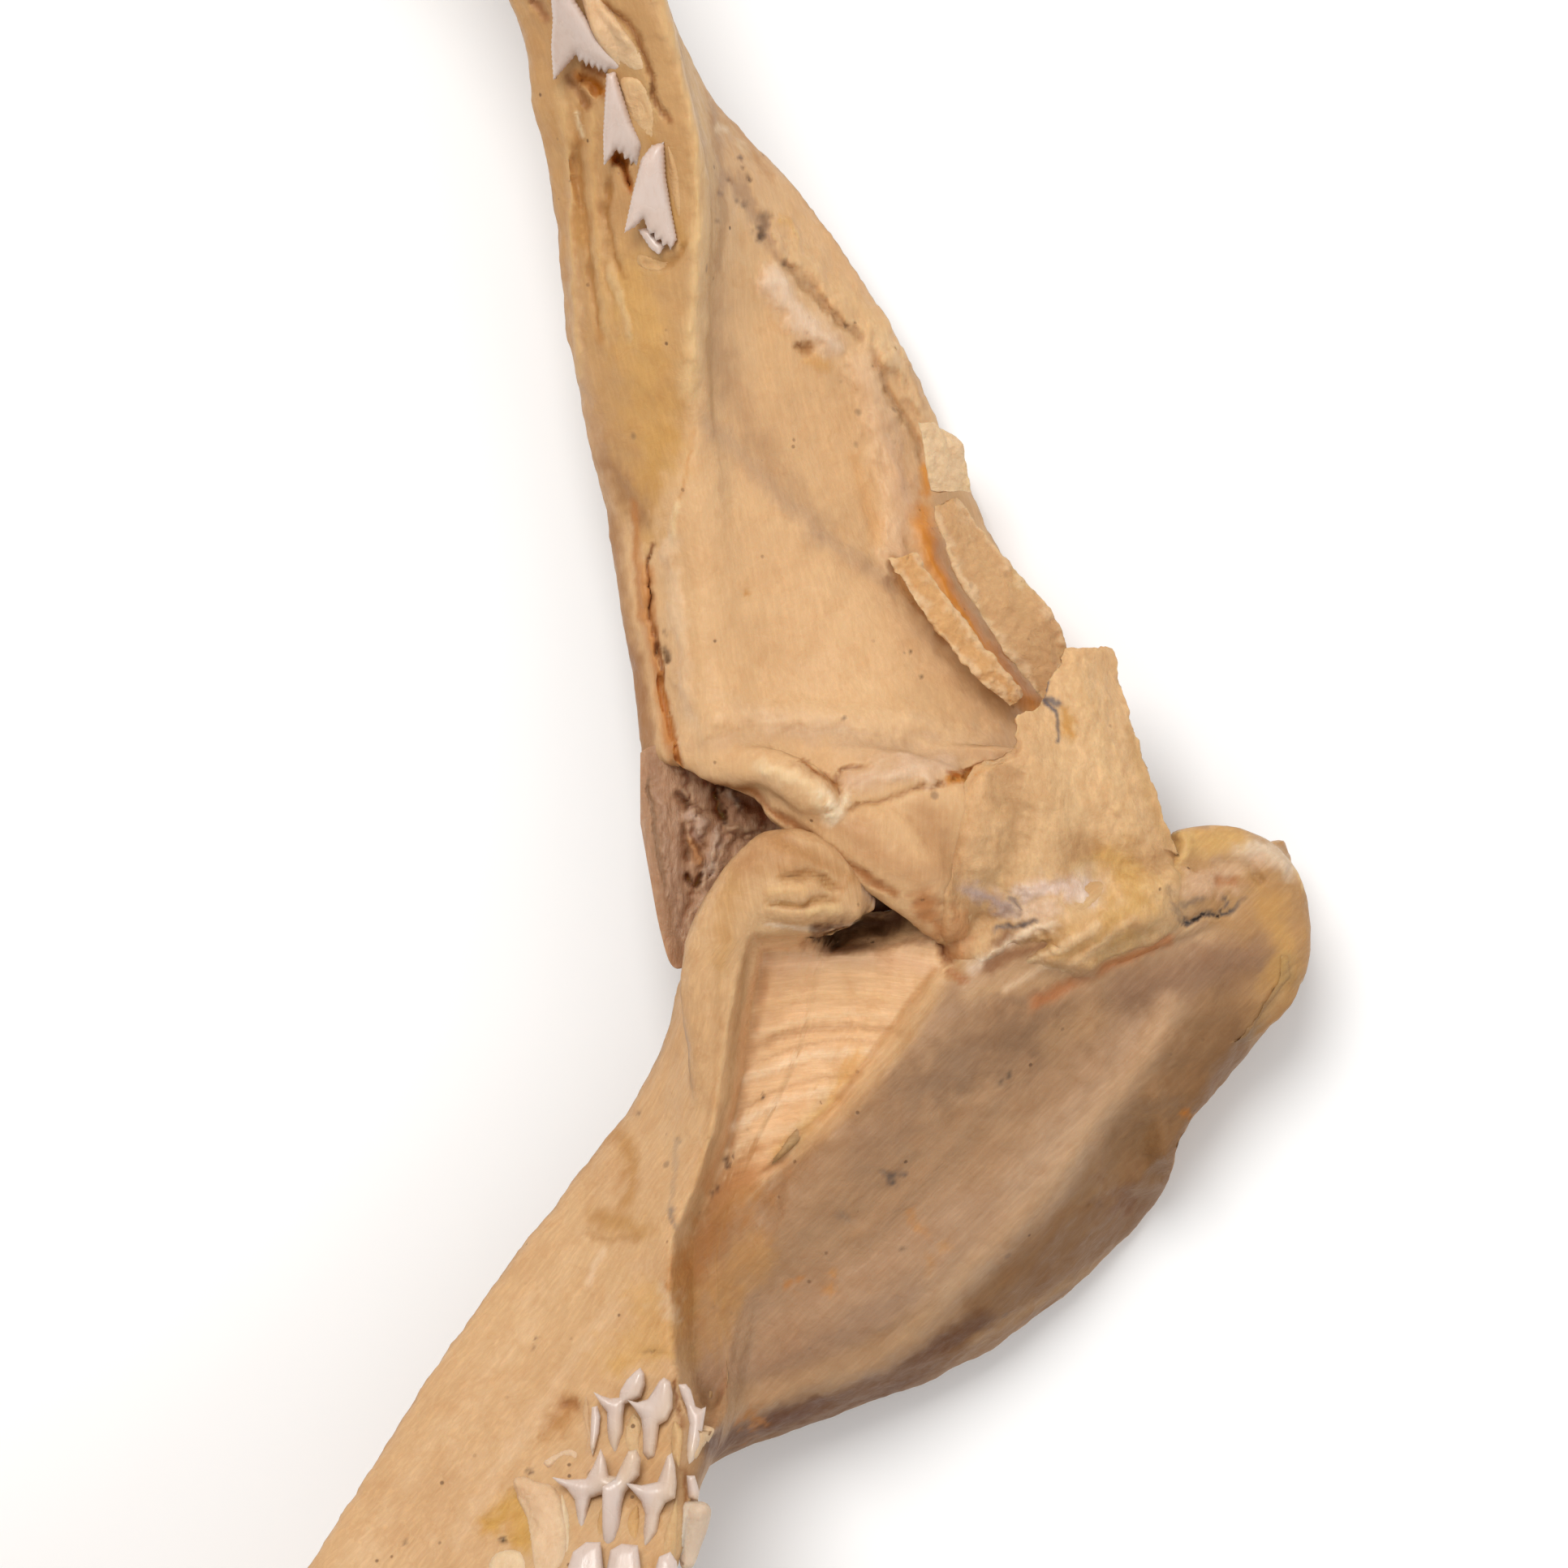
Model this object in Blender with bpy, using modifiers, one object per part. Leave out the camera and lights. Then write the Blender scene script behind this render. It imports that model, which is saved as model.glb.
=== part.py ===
"""Shark jaw: the dried jaws of a requiem shark, gape wide open, lying on the backs of the wings.

Metres, +Z up. The mouth opening faces up, the upper jaw lies toward +Y and the shark's left side
toward +X. The origin is at the middle of the footprint, on the floor.
"""

import math

import bmesh
import bpy
from mathutils import Matrix, Vector

MM = 0.001

# ---- driving sizes, in millimetres ----
UPPER_ARCH_R = 67.3
UPPER_ARCH_Y = 79.9
LOWER_ARCH_R = 50.8
LOWER_ARCH_Y = -34.6
CENTRE_Y = 19.4
SINK = 0.45
SYMPHYSIS_HALF = 1.5
SEAM = 0.3
STEPS_PER_STATION = 2
UPPER_FILES = 13
LOWER_FILES = 12
UPPER_TOOTH_W = 9.4
UPPER_TOOTH_H = 9.6
LOWER_TOOTH_W = 8.6
LOWER_TOOTH_H = 7.4
TOOTH_T = 2.0
# Columns of the skin between the jaws, from the corner of the mouth outward: x, nearer and
# farther y, and height.
WEB_COLUMNS = (
    (78.1, 16.4, 21.15, 19.2),
    (79.0, 11.2, 21.15, 19.8),
    (80.2, 5.4, 21.15, 20.0),
    (81.4, 2.2, 20.9, 19.6),
    (84.2, 3.6, 20.9, 18.4),
    (89.0, 4.45, 20.8, 17.4),
    (97.0, 5.85, 20.6, 16.6),
    (106.0, 7.4, 20.4, 16.4),
    (113.0, 8.7, 20.2, 16.0),
)
# Rows of a lower file: distance in from the ridge, lean toward the ring's inside, and scale.
LOWER_ROWS = ((0.9, -4, 1.0), (4.9, 42, 1.0), (8.6, 60, 0.9))

# The floor trims the wings by SINK, which leaves the small flats that they rest on.
# One row for each station from the symphysis to the joint. The inner edge is at x, y; the section
# runs outward along heading (degrees). strip is the width of the tooth-bearing face. After it come
# the heights of the inner edge and of the ridge, then (distance past the ridge, drop below it) for
# the trough, the lip, the fold and the rim, and the thickness of the bar and of the blade.
FIELDS = (
    "x y heading strip inner ridge trough_u trough_d lip_u lip_d fold_u fold_d rim_u rim_d bar blade"
).split()


def on_arch(radius, centre_y, degrees):
    """A point of a symphysis arch, which is round."""
    angle = math.radians(degrees)
    return radius * math.cos(angle), centre_y + radius * math.sin(angle)


def upper_stations():
    first = SYMPHYSIS_HALF + SEAM
    arch = [(first, UPPER_ARCH_Y + UPPER_ARCH_R)]
    arch += [on_arch(UPPER_ARCH_R, UPPER_ARCH_Y, a) for a in (65, 40, 17)]
    rows = [
        arch[0] + (90, 13, 40, 54, 2, 8, 2, 14, 1, 18, -1, 21, 9, 5),
        arch[1] + (66, 14, 38, 52, 2, 8, 2, 14, 1, 19, -1, 22, 9, 5),
        arch[2] + (42, 15, 33, 47, 2, 8, 2.5, 15, 2.5, 21, 2, 26, 9, 4.5),
        arch[3] + (18, 14, 27, 40, 1, 8, 1, 14, 0.8, 20, 0.5, 26, 8.5, 4),
        (67.5, 87, 8, 15, 24, 36, 0.8, 7, 1, 13, 2.2, 19, 3.4, 26, 8, 3.5),
        (68.8, 79.5, 2, 15, 22, 34, 1.5, 7, 3, 13, 6.5, 18, 11, 25, 8, 3.2),
        (70.3, 66.4, -3, 13, 20, 31, 2, 6, 6, 11, 14, 17, 22, 24, 7.5, 3),
        (72.4, 55.6, -4, 11, 18.5, 28, 3, 4, 10, 8, 19, 15, 27.5, 25.5, 7, 3),
        (75, 43, -5, 9, 17, 26, 4, 1.5, 12, 3.5, 22, 11, 34, 24.8, 6.5, 3),
        (77, 30, -3, 8, 17, 26, 5, 1, 15, 2, 28, 9, 40, 23.5, 6.5, 3),
        (78, 21.5, -1, 8, 17, 27.5, 6, 0.5, 15, 1, 27, 6, 37, 17, 6.5, 3.4),
    ]
    return [dict(zip(FIELDS, row)) for row in rows]


def lower_stations():
    first = SYMPHYSIS_HALF + SEAM
    arch = [(first, LOWER_ARCH_Y - LOWER_ARCH_R)]
    arch += [on_arch(LOWER_ARCH_R, LOWER_ARCH_Y, a) for a in (-70, -50, -31)]
    rows = [
        arch[0] + (-90, 36, 44, 60, 2, 9, 1, 15, -2, 18, -6, 20, 12, 5),
        arch[1] + (-72, 36, 42, 59, 2, 9, 1, 15, -2, 18, -6, 20, 12, 5),
        arch[2] + (-54, 36, 37, 55, 2, 9, 1, 15, -1, 19, -4, 22, 12, 5),
        arch[3] + (-42, 34, 31, 48, 1, 9, 0.5, 16, 0, 20, -2, 25, 11, 4.5),
        (55.6, -41.9, -34, 30.5, 24, 40, 0.6, 10, 0.4, 17, 0, 23, -1, 29, 10, 4),
        (59.8, -36.4, -31, 27.5, 22.5, 37, 1, 11, 1, 16, 1.5, 22, 1.5, 30, 9.5, 3.6),
        (63.5, -31.1, -28, 24.5, 21, 35, 2.5, 12, 3.5, 16, 7.5, 20, 10.5, 30, 9, 3.4),
        (69.7, -22.8, -20, 15, 19, 32, 2.5, 11, 5, 9.5, 27, 17, 33, 28, 8.5, 3),
        (75.5, -15.5, -10, 11, 17, 31, 4, 16, 9, 7, 36, 15, 45.5, 30.2, 8, 3),
        (77.9, -11.7, -5, 9.8, 17, 31, 5.4, 17, 12, 6.4, 38, 14.5, 46.3, 30.2, 7.8, 3),
        (80, -8, 0, 9, 17, 31, 6.5, 17, 14.5, 6, 42, 14, 52.2, 30.2, 7.5, 3),
        (81.2, -4, 4, 8.7, 17, 31, 7.2, 16.5, 17, 6.2, 46, 14, 57.2, 28.6, 7.2, 3.1),
        (82, 0, 8, 8.5, 17, 30.5, 8, 15, 18.5, 6.5, 47, 14, 56.5, 26, 7, 3.2),
        (84.3, 3.2, 10, 7.5, 18, 29, 8, 9, 21, 7, 43, 11, 54, 20, 7, 3.6),
    ]
    return [dict(zip(FIELDS, row)) for row in rows]


# ---- materials ----

COLOURS = {
    "cartilage": ((0.80, 0.67, 0.47), 0.45),
    "enamel": ((0.86, 0.82, 0.79), 0.25),
    "symphysis": ((0.72, 0.57, 0.37), 0.6),
    "dried_skin": ((0.50, 0.38, 0.26), 0.55),
    "ligament": ((0.83, 0.74, 0.58), 0.7),
}


def material(name):
    """The named finish, made once."""
    found = bpy.data.materials.get(name)
    if found:
        return found
    colour, roughness = COLOURS[name]
    made = bpy.data.materials.new(name)
    made.use_nodes = True
    shader = made.node_tree.nodes["Principled BSDF"]
    shader.inputs["Base Color"].default_value = (*colour, 1)
    shader.inputs["Roughness"].default_value = roughness
    shader.inputs["Metallic"].default_value = 0
    made.diffuse_color = (*colour, 1)
    return made


# ---- small helpers ----


def smooth(rows, t):
    """The station at t, by a smooth curve through the rows."""
    last = len(rows) - 1
    i = min(int(t), last - 1)
    f = t - i
    before, a, b, after = (rows[max(0, min(last, i + k))] for k in (-1, 0, 1, 2))
    out = {}
    for key in FIELDS:
        p, q, r, s = before[key], a[key], b[key], after[key]
        m0 = (r - p) / 2
        m1 = (s - q) / 2
        out[key] = (
            (2 * f**3 - 3 * f**2 + 1) * q
            + (f**3 - 2 * f**2 + f) * m0
            + (3 * f**2 - 2 * f**3) * r
            + (f**3 - f**2) * m1
        )
    return out


def section(s):
    """Closed outline of an arm, as (outward, height), from the inner edge over the ridge and back."""
    w = s["strip"]
    ridge = s["ridge"]
    rise = ridge - s["inner"]
    front = [
        (0, s["inner"]),
        (0.35 * w, s["inner"] + 0.45 * rise),
        (0.75 * w, s["inner"] + 0.86 * rise),
        (w, ridge),
        (w + 0.55 * s["trough_u"] + 0.5, ridge - 0.45 * s["trough_d"]),
    ]
    front += [(w + s[k + "_u"], ridge - s[k + "_d"]) for k in ("trough", "lip", "fold", "rim")]
    back = []
    for i in (8, 7, 6, 5):
        a = Vector(front[i - 1])
        b = Vector(front[min(i + 1, 8)])
        along = (b - a).normalized()
        into = Vector((along.y, -along.x))
        depth = s["blade"] * (0.6 if i == 8 else 1.0)
        back.append(tuple(Vector(front[i]) - Vector((-into.x, -into.y)) * depth))
    back.append((0.6 * w, s["inner"] + 0.55 * rise - s["bar"]))
    back.append((0.12 * w, s["inner"] - 0.5 * s["bar"]))
    return front + back


def outward(s):
    a = math.radians(s["heading"])
    return Vector((math.cos(a), math.sin(a), 0))


def place(s, u, z):
    """A point of a section, in space and in millimetres."""
    return Vector((s["x"], s["y"], 0)) + outward(s) * u + Vector((0, 0, z))


def in_metres(p, side):
    """A point of the drawing in the part's own frame; side -1 gives its mirror image."""
    return (Vector((side * p.x, p.y, p.z)) + Vector((0, -CENTRE_Y, -SINK))) * MM


def mesh_object(name, points, faces, side=1, finish="cartilage"):
    """side -1 gives the mirrored copy, with its faces turned to look outward."""
    mesh = bpy.data.meshes.new(name)
    moved = [in_metres(p, side) for p in points]
    turned = faces if side > 0 else [tuple(reversed(f)) for f in faces]
    mesh.from_pydata(moved, [], turned)
    mesh.validate()
    mesh.materials.append(material(finish))
    return bpy.data.objects.new(name, mesh)


def rings_to_mesh(rings):
    """Faces of a closed tube through equal rings, capped at both ends."""
    n = len(rings[0])
    points = [p for ring in rings for p in ring]
    faces = []
    for k in range(len(rings) - 1):
        for i in range(n):
            j = (i + 1) % n
            faces.append((k * n + i, k * n + j, (k + 1) * n + j, (k + 1) * n + i))
    faces.append(tuple(reversed(range(n))))
    faces.append(tuple(range((len(rings) - 1) * n, len(rings) * n)))
    return points, faces


def facing_out(obj):
    """Turns all faces outward."""
    bm = bmesh.new()
    bm.from_mesh(obj.data)
    bmesh.ops.triangulate(bm, faces=bm.faces)
    bmesh.ops.recalc_face_normals(bm, faces=bm.faces)
    if bm.calc_volume(signed=True) < 0:
        bmesh.ops.reverse_faces(bm, faces=bm.faces)
    bm.to_mesh(obj.data)
    bm.free()
    return obj


def arm_loft(name, rows, side):
    last = len(rows) - 1
    count = last * STEPS_PER_STATION
    rings = []
    for k in range(count + 1):
        s = smooth(rows, last * k / count)
        rings.append([place(s, u, z) for u, z in section(s)])
    points, faces = rings_to_mesh(rings)
    return facing_out(mesh_object(name, points, faces, side))


def lump(name, centre, radii, turn, side, rings=5, around=8):
    """An ellipsoid lying at centre, turned about the vertical."""
    bm = bmesh.new()
    bmesh.ops.create_uvsphere(bm, u_segments=around, v_segments=rings, radius=1)
    size = Matrix.Diagonal((*radii, 1))
    bm.transform(Matrix.Translation(centre) @ Matrix.Rotation(math.radians(turn), 4, "Z") @ size)
    points = [v.co.copy() for v in bm.verts]
    faces = [tuple(v.index for v in f.verts) for f in bm.faces]
    bm.free()
    return facing_out(mesh_object(name, points, faces, side))


def ribbon(name, rows, thick, side, finish="cartilage"):
    """A sheet through rows of points, made solid on its under side."""
    n = len(rows[0])
    points = [Vector(p) for row in rows for p in row]
    faces = []
    for k in range(len(rows) - 1):
        for i in range(n - 1):
            faces.append((k * n + i, k * n + i + 1, (k + 1) * n + i + 1, (k + 1) * n + i))
    sheet = mesh_object(name, points, faces, side, finish)
    bm = bmesh.new()
    bm.from_mesh(sheet.data)
    if sum(f.normal.z * f.calc_area() for f in bm.faces) < 0:
        bmesh.ops.reverse_faces(bm, faces=bm.faces)
    bm.to_mesh(sheet.data)
    bm.free()
    solid = sheet.modifiers.new("thickness", "SOLIDIFY")
    solid.thickness = thick * MM
    solid.offset = -1
    solid.use_even_offset = True
    solid.use_rim = True
    return sheet


# ---- teeth ----


def tooth(name, root, along, up, face, size, outline, side):
    """A flat blade with its outline across along and up; face is the way its flat side looks."""
    wide, high, thick = size
    n = len(outline)
    points = []
    for sign in (1, -1):
        for a, h in outline:
            t = 0.5 * thick * (1 - 0.72 * max(0.0, h))
            points.append(root + along * (a * wide) + up * (h * high) + face * (sign * t))
    faces = [tuple(range(n)), tuple(range(2 * n - 1, n - 1, -1))]
    for i in range(n):
        j = (i + 1) % n
        faces.append((i, i + n, j + n, j))
    return facing_out(mesh_object(name, points, faces, side, "enamel"))


# The cusp leans toward the joint, with a notch and a coarse heel behind it.
UPPER_OUTLINE = ((-0.5, -0.28), (0.5, -0.28), (0.46, 0.12), (0.3, 1.0), (-0.14, 0.36), (-0.5, 0.2))
# A slender cusp stands on a wide root.
LOWER_OUTLINE = (
    (-0.5, -0.16),
    (0.5, -0.16),
    (0.46, 0.22),
    (0.16, 0.34),
    (0.04, 1.05),
    (-0.12, 0.34),
    (-0.46, 0.22),
)


def along_arm(rows, t):
    """Unit vector down the arm, toward the joint, at the ridge."""
    last = len(rows) - 1
    a = smooth(rows, max(0, t - 0.1))
    b = smooth(rows, min(last, t + 0.1))
    return (place(b, b["strip"], b["ridge"]) - place(a, a["strip"], a["ridge"])).normalized()


def file_stations(rows, reach, first, count):
    """Values of t at equal steps along the arm, from first to reach."""
    steps = 80
    walk = [first + (reach - first) * k / steps for k in range(steps + 1)]
    marks = [0.0]
    for a, b in zip(walk, walk[1:]):
        p = smooth(rows, a)
        q = smooth(rows, b)
        gap = place(q, 0.7 * q["strip"], q["ridge"]) - place(p, 0.7 * p["strip"], p["ridge"])
        marks.append(marks[-1] + gap.length)
    found = []
    for k in range(count):
        want = marks[-1] * k / (count - 1)
        i = max(j for j in range(len(marks)) if marks[j] <= want + 1e-6)
        i = min(i, steps - 1)
        f = (want - marks[i]) / (marks[i + 1] - marks[i])
        found.append(walk[i] + (walk[i + 1] - walk[i]) * f)
    return found


def strip_point(s, share):
    """On the tooth-bearing face, share of the way from the inner edge to the ridge."""
    outline = section(s)[:4]
    u = share * s["strip"]
    for (a, za), (b, zb) in zip(outline, outline[1:]):
        if u <= b + 1e-9:
            return place(s, u, za + (zb - za) * (u - a) / (b - a))
    return place(s, *outline[-1])


def add_tooth(found, name, rows, t, share, tilt, scale, kind, side):
    """tilt is how far the tooth leans from upright toward the ring's inside, in degrees."""
    s = smooth(rows, t)
    lean = math.radians(tilt)
    inward = -outward(s)
    up = (Vector((0, 0, math.cos(lean))) + inward * math.sin(lean)).normalized()
    down_arm = along_arm(rows, t)
    down_arm = (down_arm - up * down_arm.dot(up)).normalized()
    face = up.cross(down_arm)
    wide, high, outline = (
        (UPPER_TOOTH_W, UPPER_TOOTH_H, UPPER_OUTLINE)
        if kind == "upper"
        else (LOWER_TOOTH_W, LOWER_TOOTH_H, LOWER_OUTLINE)
    )
    size = (wide * scale, high * scale, TOOTH_T * (0.7 + 0.3 * scale))
    root = strip_point(s, share)
    found.append(tooth(f"{name}_{len(found)}", root, down_arm, up, face, size, outline, side))


def upper_teeth(rows, side):
    found = []
    for k, t in enumerate(file_stations(rows, 5.3, 0.24, UPPER_FILES)):
        grown = 0.8 + 0.2 * math.sin(math.pi * min(1, k / 6) / 2)
        grown *= 1.0 if k < UPPER_FILES - 2 else 0.86
        share, tilt = (0.8, 62) if k < UPPER_FILES - 2 else (0.86, 50)
        add_tooth(found, "upper_tooth", rows, t, share, tilt, grown, "upper", side)
        if k % 2 == 0 and k < UPPER_FILES - 1:
            add_tooth(found, "upper_tooth", rows, t, 0.5, 84, 0.7 * grown, "upper", side)
    return found


def lower_teeth(rows, side):
    found = []
    for k, t in enumerate(file_stations(rows, 5.3, 0.24, LOWER_FILES)):
        grown = 0.86 + 0.14 * math.sin(math.pi * min(1, k / 5) / 2)
        strip = smooth(rows, t)["strip"]
        for inward, tilt, scale in LOWER_ROWS:
            share = 1 - inward / strip
            add_tooth(found, "lower_tooth", rows, t, share, tilt, scale * grown, "lower", side)
    return found


# ---- joining ----


def joined(base, extras, collection, cutters, trim):
    """Unites extras with base, trims the floor side flat and keeps one object."""
    collection.objects.link(base)
    for extra in extras:
        cutters.objects.link(extra)
    helper = bpy.data.collections.new(base.name + "_extras")
    cutters.children.link(helper)
    for extra in extras:
        helper.objects.link(extra)
        cutters.objects.unlink(extra)
    if extras:
        unite = base.modifiers.new("unite", "BOOLEAN")
        unite.operation = "UNION"
        unite.solver = "EXACT"
        unite.use_self = True
        unite.material_mode = "TRANSFER"
        unite.operand_type = "COLLECTION"
        unite.collection = helper
    if trim:
        flat = base.modifiers.new("floor", "BOOLEAN")
        flat.operation = "DIFFERENCE"
        flat.solver = "EXACT"
        flat.object = trim
    return base


def floor_block():
    bm = bmesh.new()
    bmesh.ops.create_cube(bm, size=1)
    bm.transform(Matrix.Translation((0, 0, -0.02)) @ Matrix.Diagonal((0.5, 0.5, 0.04, 1)))
    mesh = bpy.data.meshes.new("floor_block")
    bm.to_mesh(mesh)
    bm.free()
    return bpy.data.objects.new("floor_block", mesh)


# ---- sub-parts ----


def symphysis(name, rows, side_scale):
    """The pad of tough tissue between the two halves of a jaw."""
    s = dict(rows[0])
    outline = section(s)
    rings = []
    for x in (-SYMPHYSIS_HALF, 0, SYMPHYSIS_HALF):
        swell = side_scale * (1 - abs(x) / SYMPHYSIS_HALF)
        ring = []
        for u, z in outline:
            p = place(s, u, z + swell * 0.4)
            ring.append(Vector((x, p.y, p.z)))
        rings.append(ring)
    points, faces = rings_to_mesh(rings)
    return facing_out(mesh_object(name, points, faces, 1, "symphysis"))


def rod(name, path, radii, side, resolution=2):
    """A bent bar: a bevelled curve through the points of path, made a mesh with its caps welded."""
    curve = bpy.data.curves.new(name, "CURVE")
    curve.dimensions = "3D"
    curve.bevel_depth = MM
    curve.bevel_resolution = resolution
    curve.use_fill_caps = True
    spline = curve.splines.new("POLY")
    spline.points.add(len(path) - 1)
    for point, place_mm, radius in zip(spline.points, path, radii):
        point.co = (*in_metres(Vector(place_mm), side), 1)
        point.radius = radius
    drawn = bpy.data.objects.new(name, curve)
    bpy.context.scene.collection.objects.link(drawn)
    graph = bpy.context.evaluated_depsgraph_get()
    mesh = bpy.data.meshes.new_from_object(drawn.evaluated_get(graph))
    bpy.data.objects.remove(drawn)
    bm = bmesh.new()
    bm.from_mesh(mesh)
    bmesh.ops.remove_doubles(bm, verts=bm.verts, dist=0.00001)
    bm.to_mesh(mesh)
    bm.free()
    mesh.materials.clear()
    mesh.materials.append(material("cartilage"))
    return facing_out(bpy.data.objects.new(name, mesh))


def on_blade(rows, t, u, lift=0.0):
    """A point on the outer face of the blade, u past the ridge."""
    s = smooth(rows, t)
    outline = section(s)[3:9]
    want = s["strip"] + u
    for (a, za), (b, zb) in zip(outline, outline[1:]):
        if want <= b + 1e-9:
            return place(s, want, za + (zb - za) * (want - a) / (b - a) + lift)
    return place(s, outline[-1][0], outline[-1][1] + lift)


def upper_joint(side):
    """The articular boss under the crest of the blade, with its rolled upper edge."""
    boss = [
        [(84.5, 22.5, 25.5), (95, 23.5, 26.5), (106, 23.5, 26), (116, 23, 23)],
        [(88.8, 19.2, 26.5), (97, 18.5, 28.5), (107, 17.5, 28), (116, 17, 26)],
        [(92.4, 16.2, 28), (98.5, 14.2, 29.4), (106, 12, 29.2), (112, 11, 27.5)],
        [(98.2, 12.6, 28.4), (102.4, 10, 29), (106.5, 7.4, 28.8), (109.2, 6, 27.5)],
    ]
    roll = [(89.2, 21.2, 27), (92.4, 19.8, 29), (95.4, 17.6, 30), (98.4, 15.4, 29.5)]
    return [
        ribbon("upper_boss", boss, 3.4, side),
        rod("upper_roll", roll, (1.6, 2.6, 2.6, 1.4), side),
    ]


def upper_tears(rows, side):
    """Ribs where the thin blade has split and folded along its outer margin."""
    ribs = (
        ((5.5, 8.5), (5.9, 12), (6.25, 15), (6.8, 17.5), (7.3, 20), (7.7, 22)),
        ((7.95, 19.5), (8.35, 23.5), (8.75, 27.5), (9.15, 31)),
        ((7.5, 27), (7.9, 30.5), (8.3, 33.5), (8.75, 36)),
    )
    found = []
    for path, radius in zip(ribs, (1.0, 1.3, 1.5)):
        points = [on_blade(rows, t, u, 0.55) for t, u in path]
        radii = [radius * (0.7 if i in (0, len(path) - 1) else 1) for i in range(len(path))]
        found.append(rod("upper_tear", points, radii, side, 1))
    return found


def lower_joint(side):
    """The hooked head of the bar and the blunt end of the wing."""
    hook = [(87.6, -2, 26.5), (86.6, 3.2, 27.5), (87.8, 8.4, 28.5)]
    hook += [(91, 11.2, 29), (95, 9.8, 28.8), (98.6, 7, 27.5)]
    return [
        rod("lower_hook", hook, (2.6, 3.4, 3.5, 3.4, 3.1, 2.0), side),
        lump("lower_end", (137.2, 10, 14), (8.6, 6.2, 6), 14, side),
    ]


def ligament(name, side):
    """The pale sheet of dried ligament over the joint, torn free at its top."""
    rows = (
        (33.3, 121.4, 126.7, 20.5, 18.5),
        (27.5, 117.2, 127.4, 24.5, 19.5),
        (22.5, 115.8, 129.2, 27, 21),
        (15.0, 114.2, 132.2, 29.5, 23.5),
        (9.0, 111.6, 132.2, 30.5, 24.4),
        (2.0, 110.4, 125.5, 28.5, 24.6),
    )
    strips = []
    for y, left, right, high, low in rows:
        strip = []
        for k in range(4):
            f = k / 3
            height = high + (low - high) * f**1.4 + 0.5 * math.sin(math.pi * f)
            strip.append((left + (right - left) * f, y, height))
        strips.append(strip)
    return ribbon(name, strips, 1.7, side, "ligament")


def web(name, side):
    """The dried skin across the corner of the mouth."""
    columns = []
    for x, near, far, height in WEB_COLUMNS:
        points = [(x, near, height), (x, 0.5 * (near + far), height + 0.7), (x, far, height)]
        columns.append(points)
    return ribbon(name, columns, 1.4, side, "dried_skin")


def main():
    for obj in list(bpy.data.objects):
        bpy.data.objects.remove(obj)
    jaw = bpy.data.collections.new("shark_jaw")
    cutters = bpy.data.collections.new("cutters")
    bpy.context.scene.collection.children.link(jaw)
    bpy.context.scene.collection.children.link(cutters)
    block = floor_block()
    cutters.objects.link(block)
    upper = upper_stations()
    lower = lower_stations()
    for side, word in ((1, "left"), (-1, "right")):
        base = arm_loft("upper_jaw_" + word, upper, side)
        extras = upper_teeth(upper, side) + upper_joint(side) + upper_tears(upper, side)
        joined(base, extras, jaw, cutters, block)
        base = arm_loft("lower_jaw_" + word, lower, side)
        joined(base, lower_teeth(lower, side) + lower_joint(side), jaw, cutters, block)
        jaw.objects.link(ligament("joint_ligament_" + word, side))
        jaw.objects.link(web("mouth_corner_" + word, side))
    jaw.objects.link(symphysis("upper_symphysis", upper, 1))
    jaw.objects.link(symphysis("lower_symphysis", lower, 1))
    for obj in jaw.objects:
        obj.data.shade_smooth()
        obj.data.set_sharp_from_angle(angle=math.radians(38))
    for obj in list(cutters.all_objects):
        obj.hide_render = True
        obj.display_type = "WIRE"
    bpy.context.view_layer.update()


main()
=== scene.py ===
"""Dried shark jaw: fine shapes, teeth, torn edges and finishes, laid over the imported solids."""

import math

import bmesh
import bpy
import numpy as np
from bpy.props import FloatProperty, FloatVectorProperty, IntProperty, PointerProperty
from mathutils import Matrix, Vector, geometry, noise
from mathutils.bvhtree import BVHTree


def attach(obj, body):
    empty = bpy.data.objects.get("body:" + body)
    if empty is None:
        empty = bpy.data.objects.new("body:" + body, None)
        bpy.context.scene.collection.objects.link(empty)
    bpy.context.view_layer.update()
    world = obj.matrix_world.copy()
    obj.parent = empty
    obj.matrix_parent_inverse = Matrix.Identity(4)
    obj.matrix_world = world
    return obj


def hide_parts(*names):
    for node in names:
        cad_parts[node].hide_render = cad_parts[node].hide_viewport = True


bl_info = {
    "name": "Dried Shark Jaw",
    "version": (1, 0, 0),
    "blender": (4, 5, 0),
    "location": "View3D > Sidebar > Jaw",
    "description": "Builds the cartilage, teeth, skin and stage of a dried shark jaw",
    "category": "Object",
}

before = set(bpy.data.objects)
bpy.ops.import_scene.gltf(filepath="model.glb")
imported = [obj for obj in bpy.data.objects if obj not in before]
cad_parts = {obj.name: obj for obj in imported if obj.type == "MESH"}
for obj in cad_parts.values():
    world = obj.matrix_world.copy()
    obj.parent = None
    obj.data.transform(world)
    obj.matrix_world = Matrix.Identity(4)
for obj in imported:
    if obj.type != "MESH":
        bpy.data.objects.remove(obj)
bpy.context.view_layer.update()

# Lengths below are in millimetres unless a name or comment says otherwise.
MM = 0.001
TINY = 1e-9
FAR = 1e9
# The rows of the arms are drawn about another origin: they move down the page and into the floor.
CENTRE_Y = 19.4
SINK = 0.45
SYMPHYSIS_HALF = 1.5
SEAM = 0.3
# Radius and middle of each front arch.
UPPER_ARCH = (67.3, 79.9)
LOWER_ARCH = (50.8, -34.6)
# Rings along an arm, points round a rod and rings in each of its rounded ends.
ARM_RINGS = 170
ROD_AROUND = 18
ROD_CAP = 5

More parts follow.
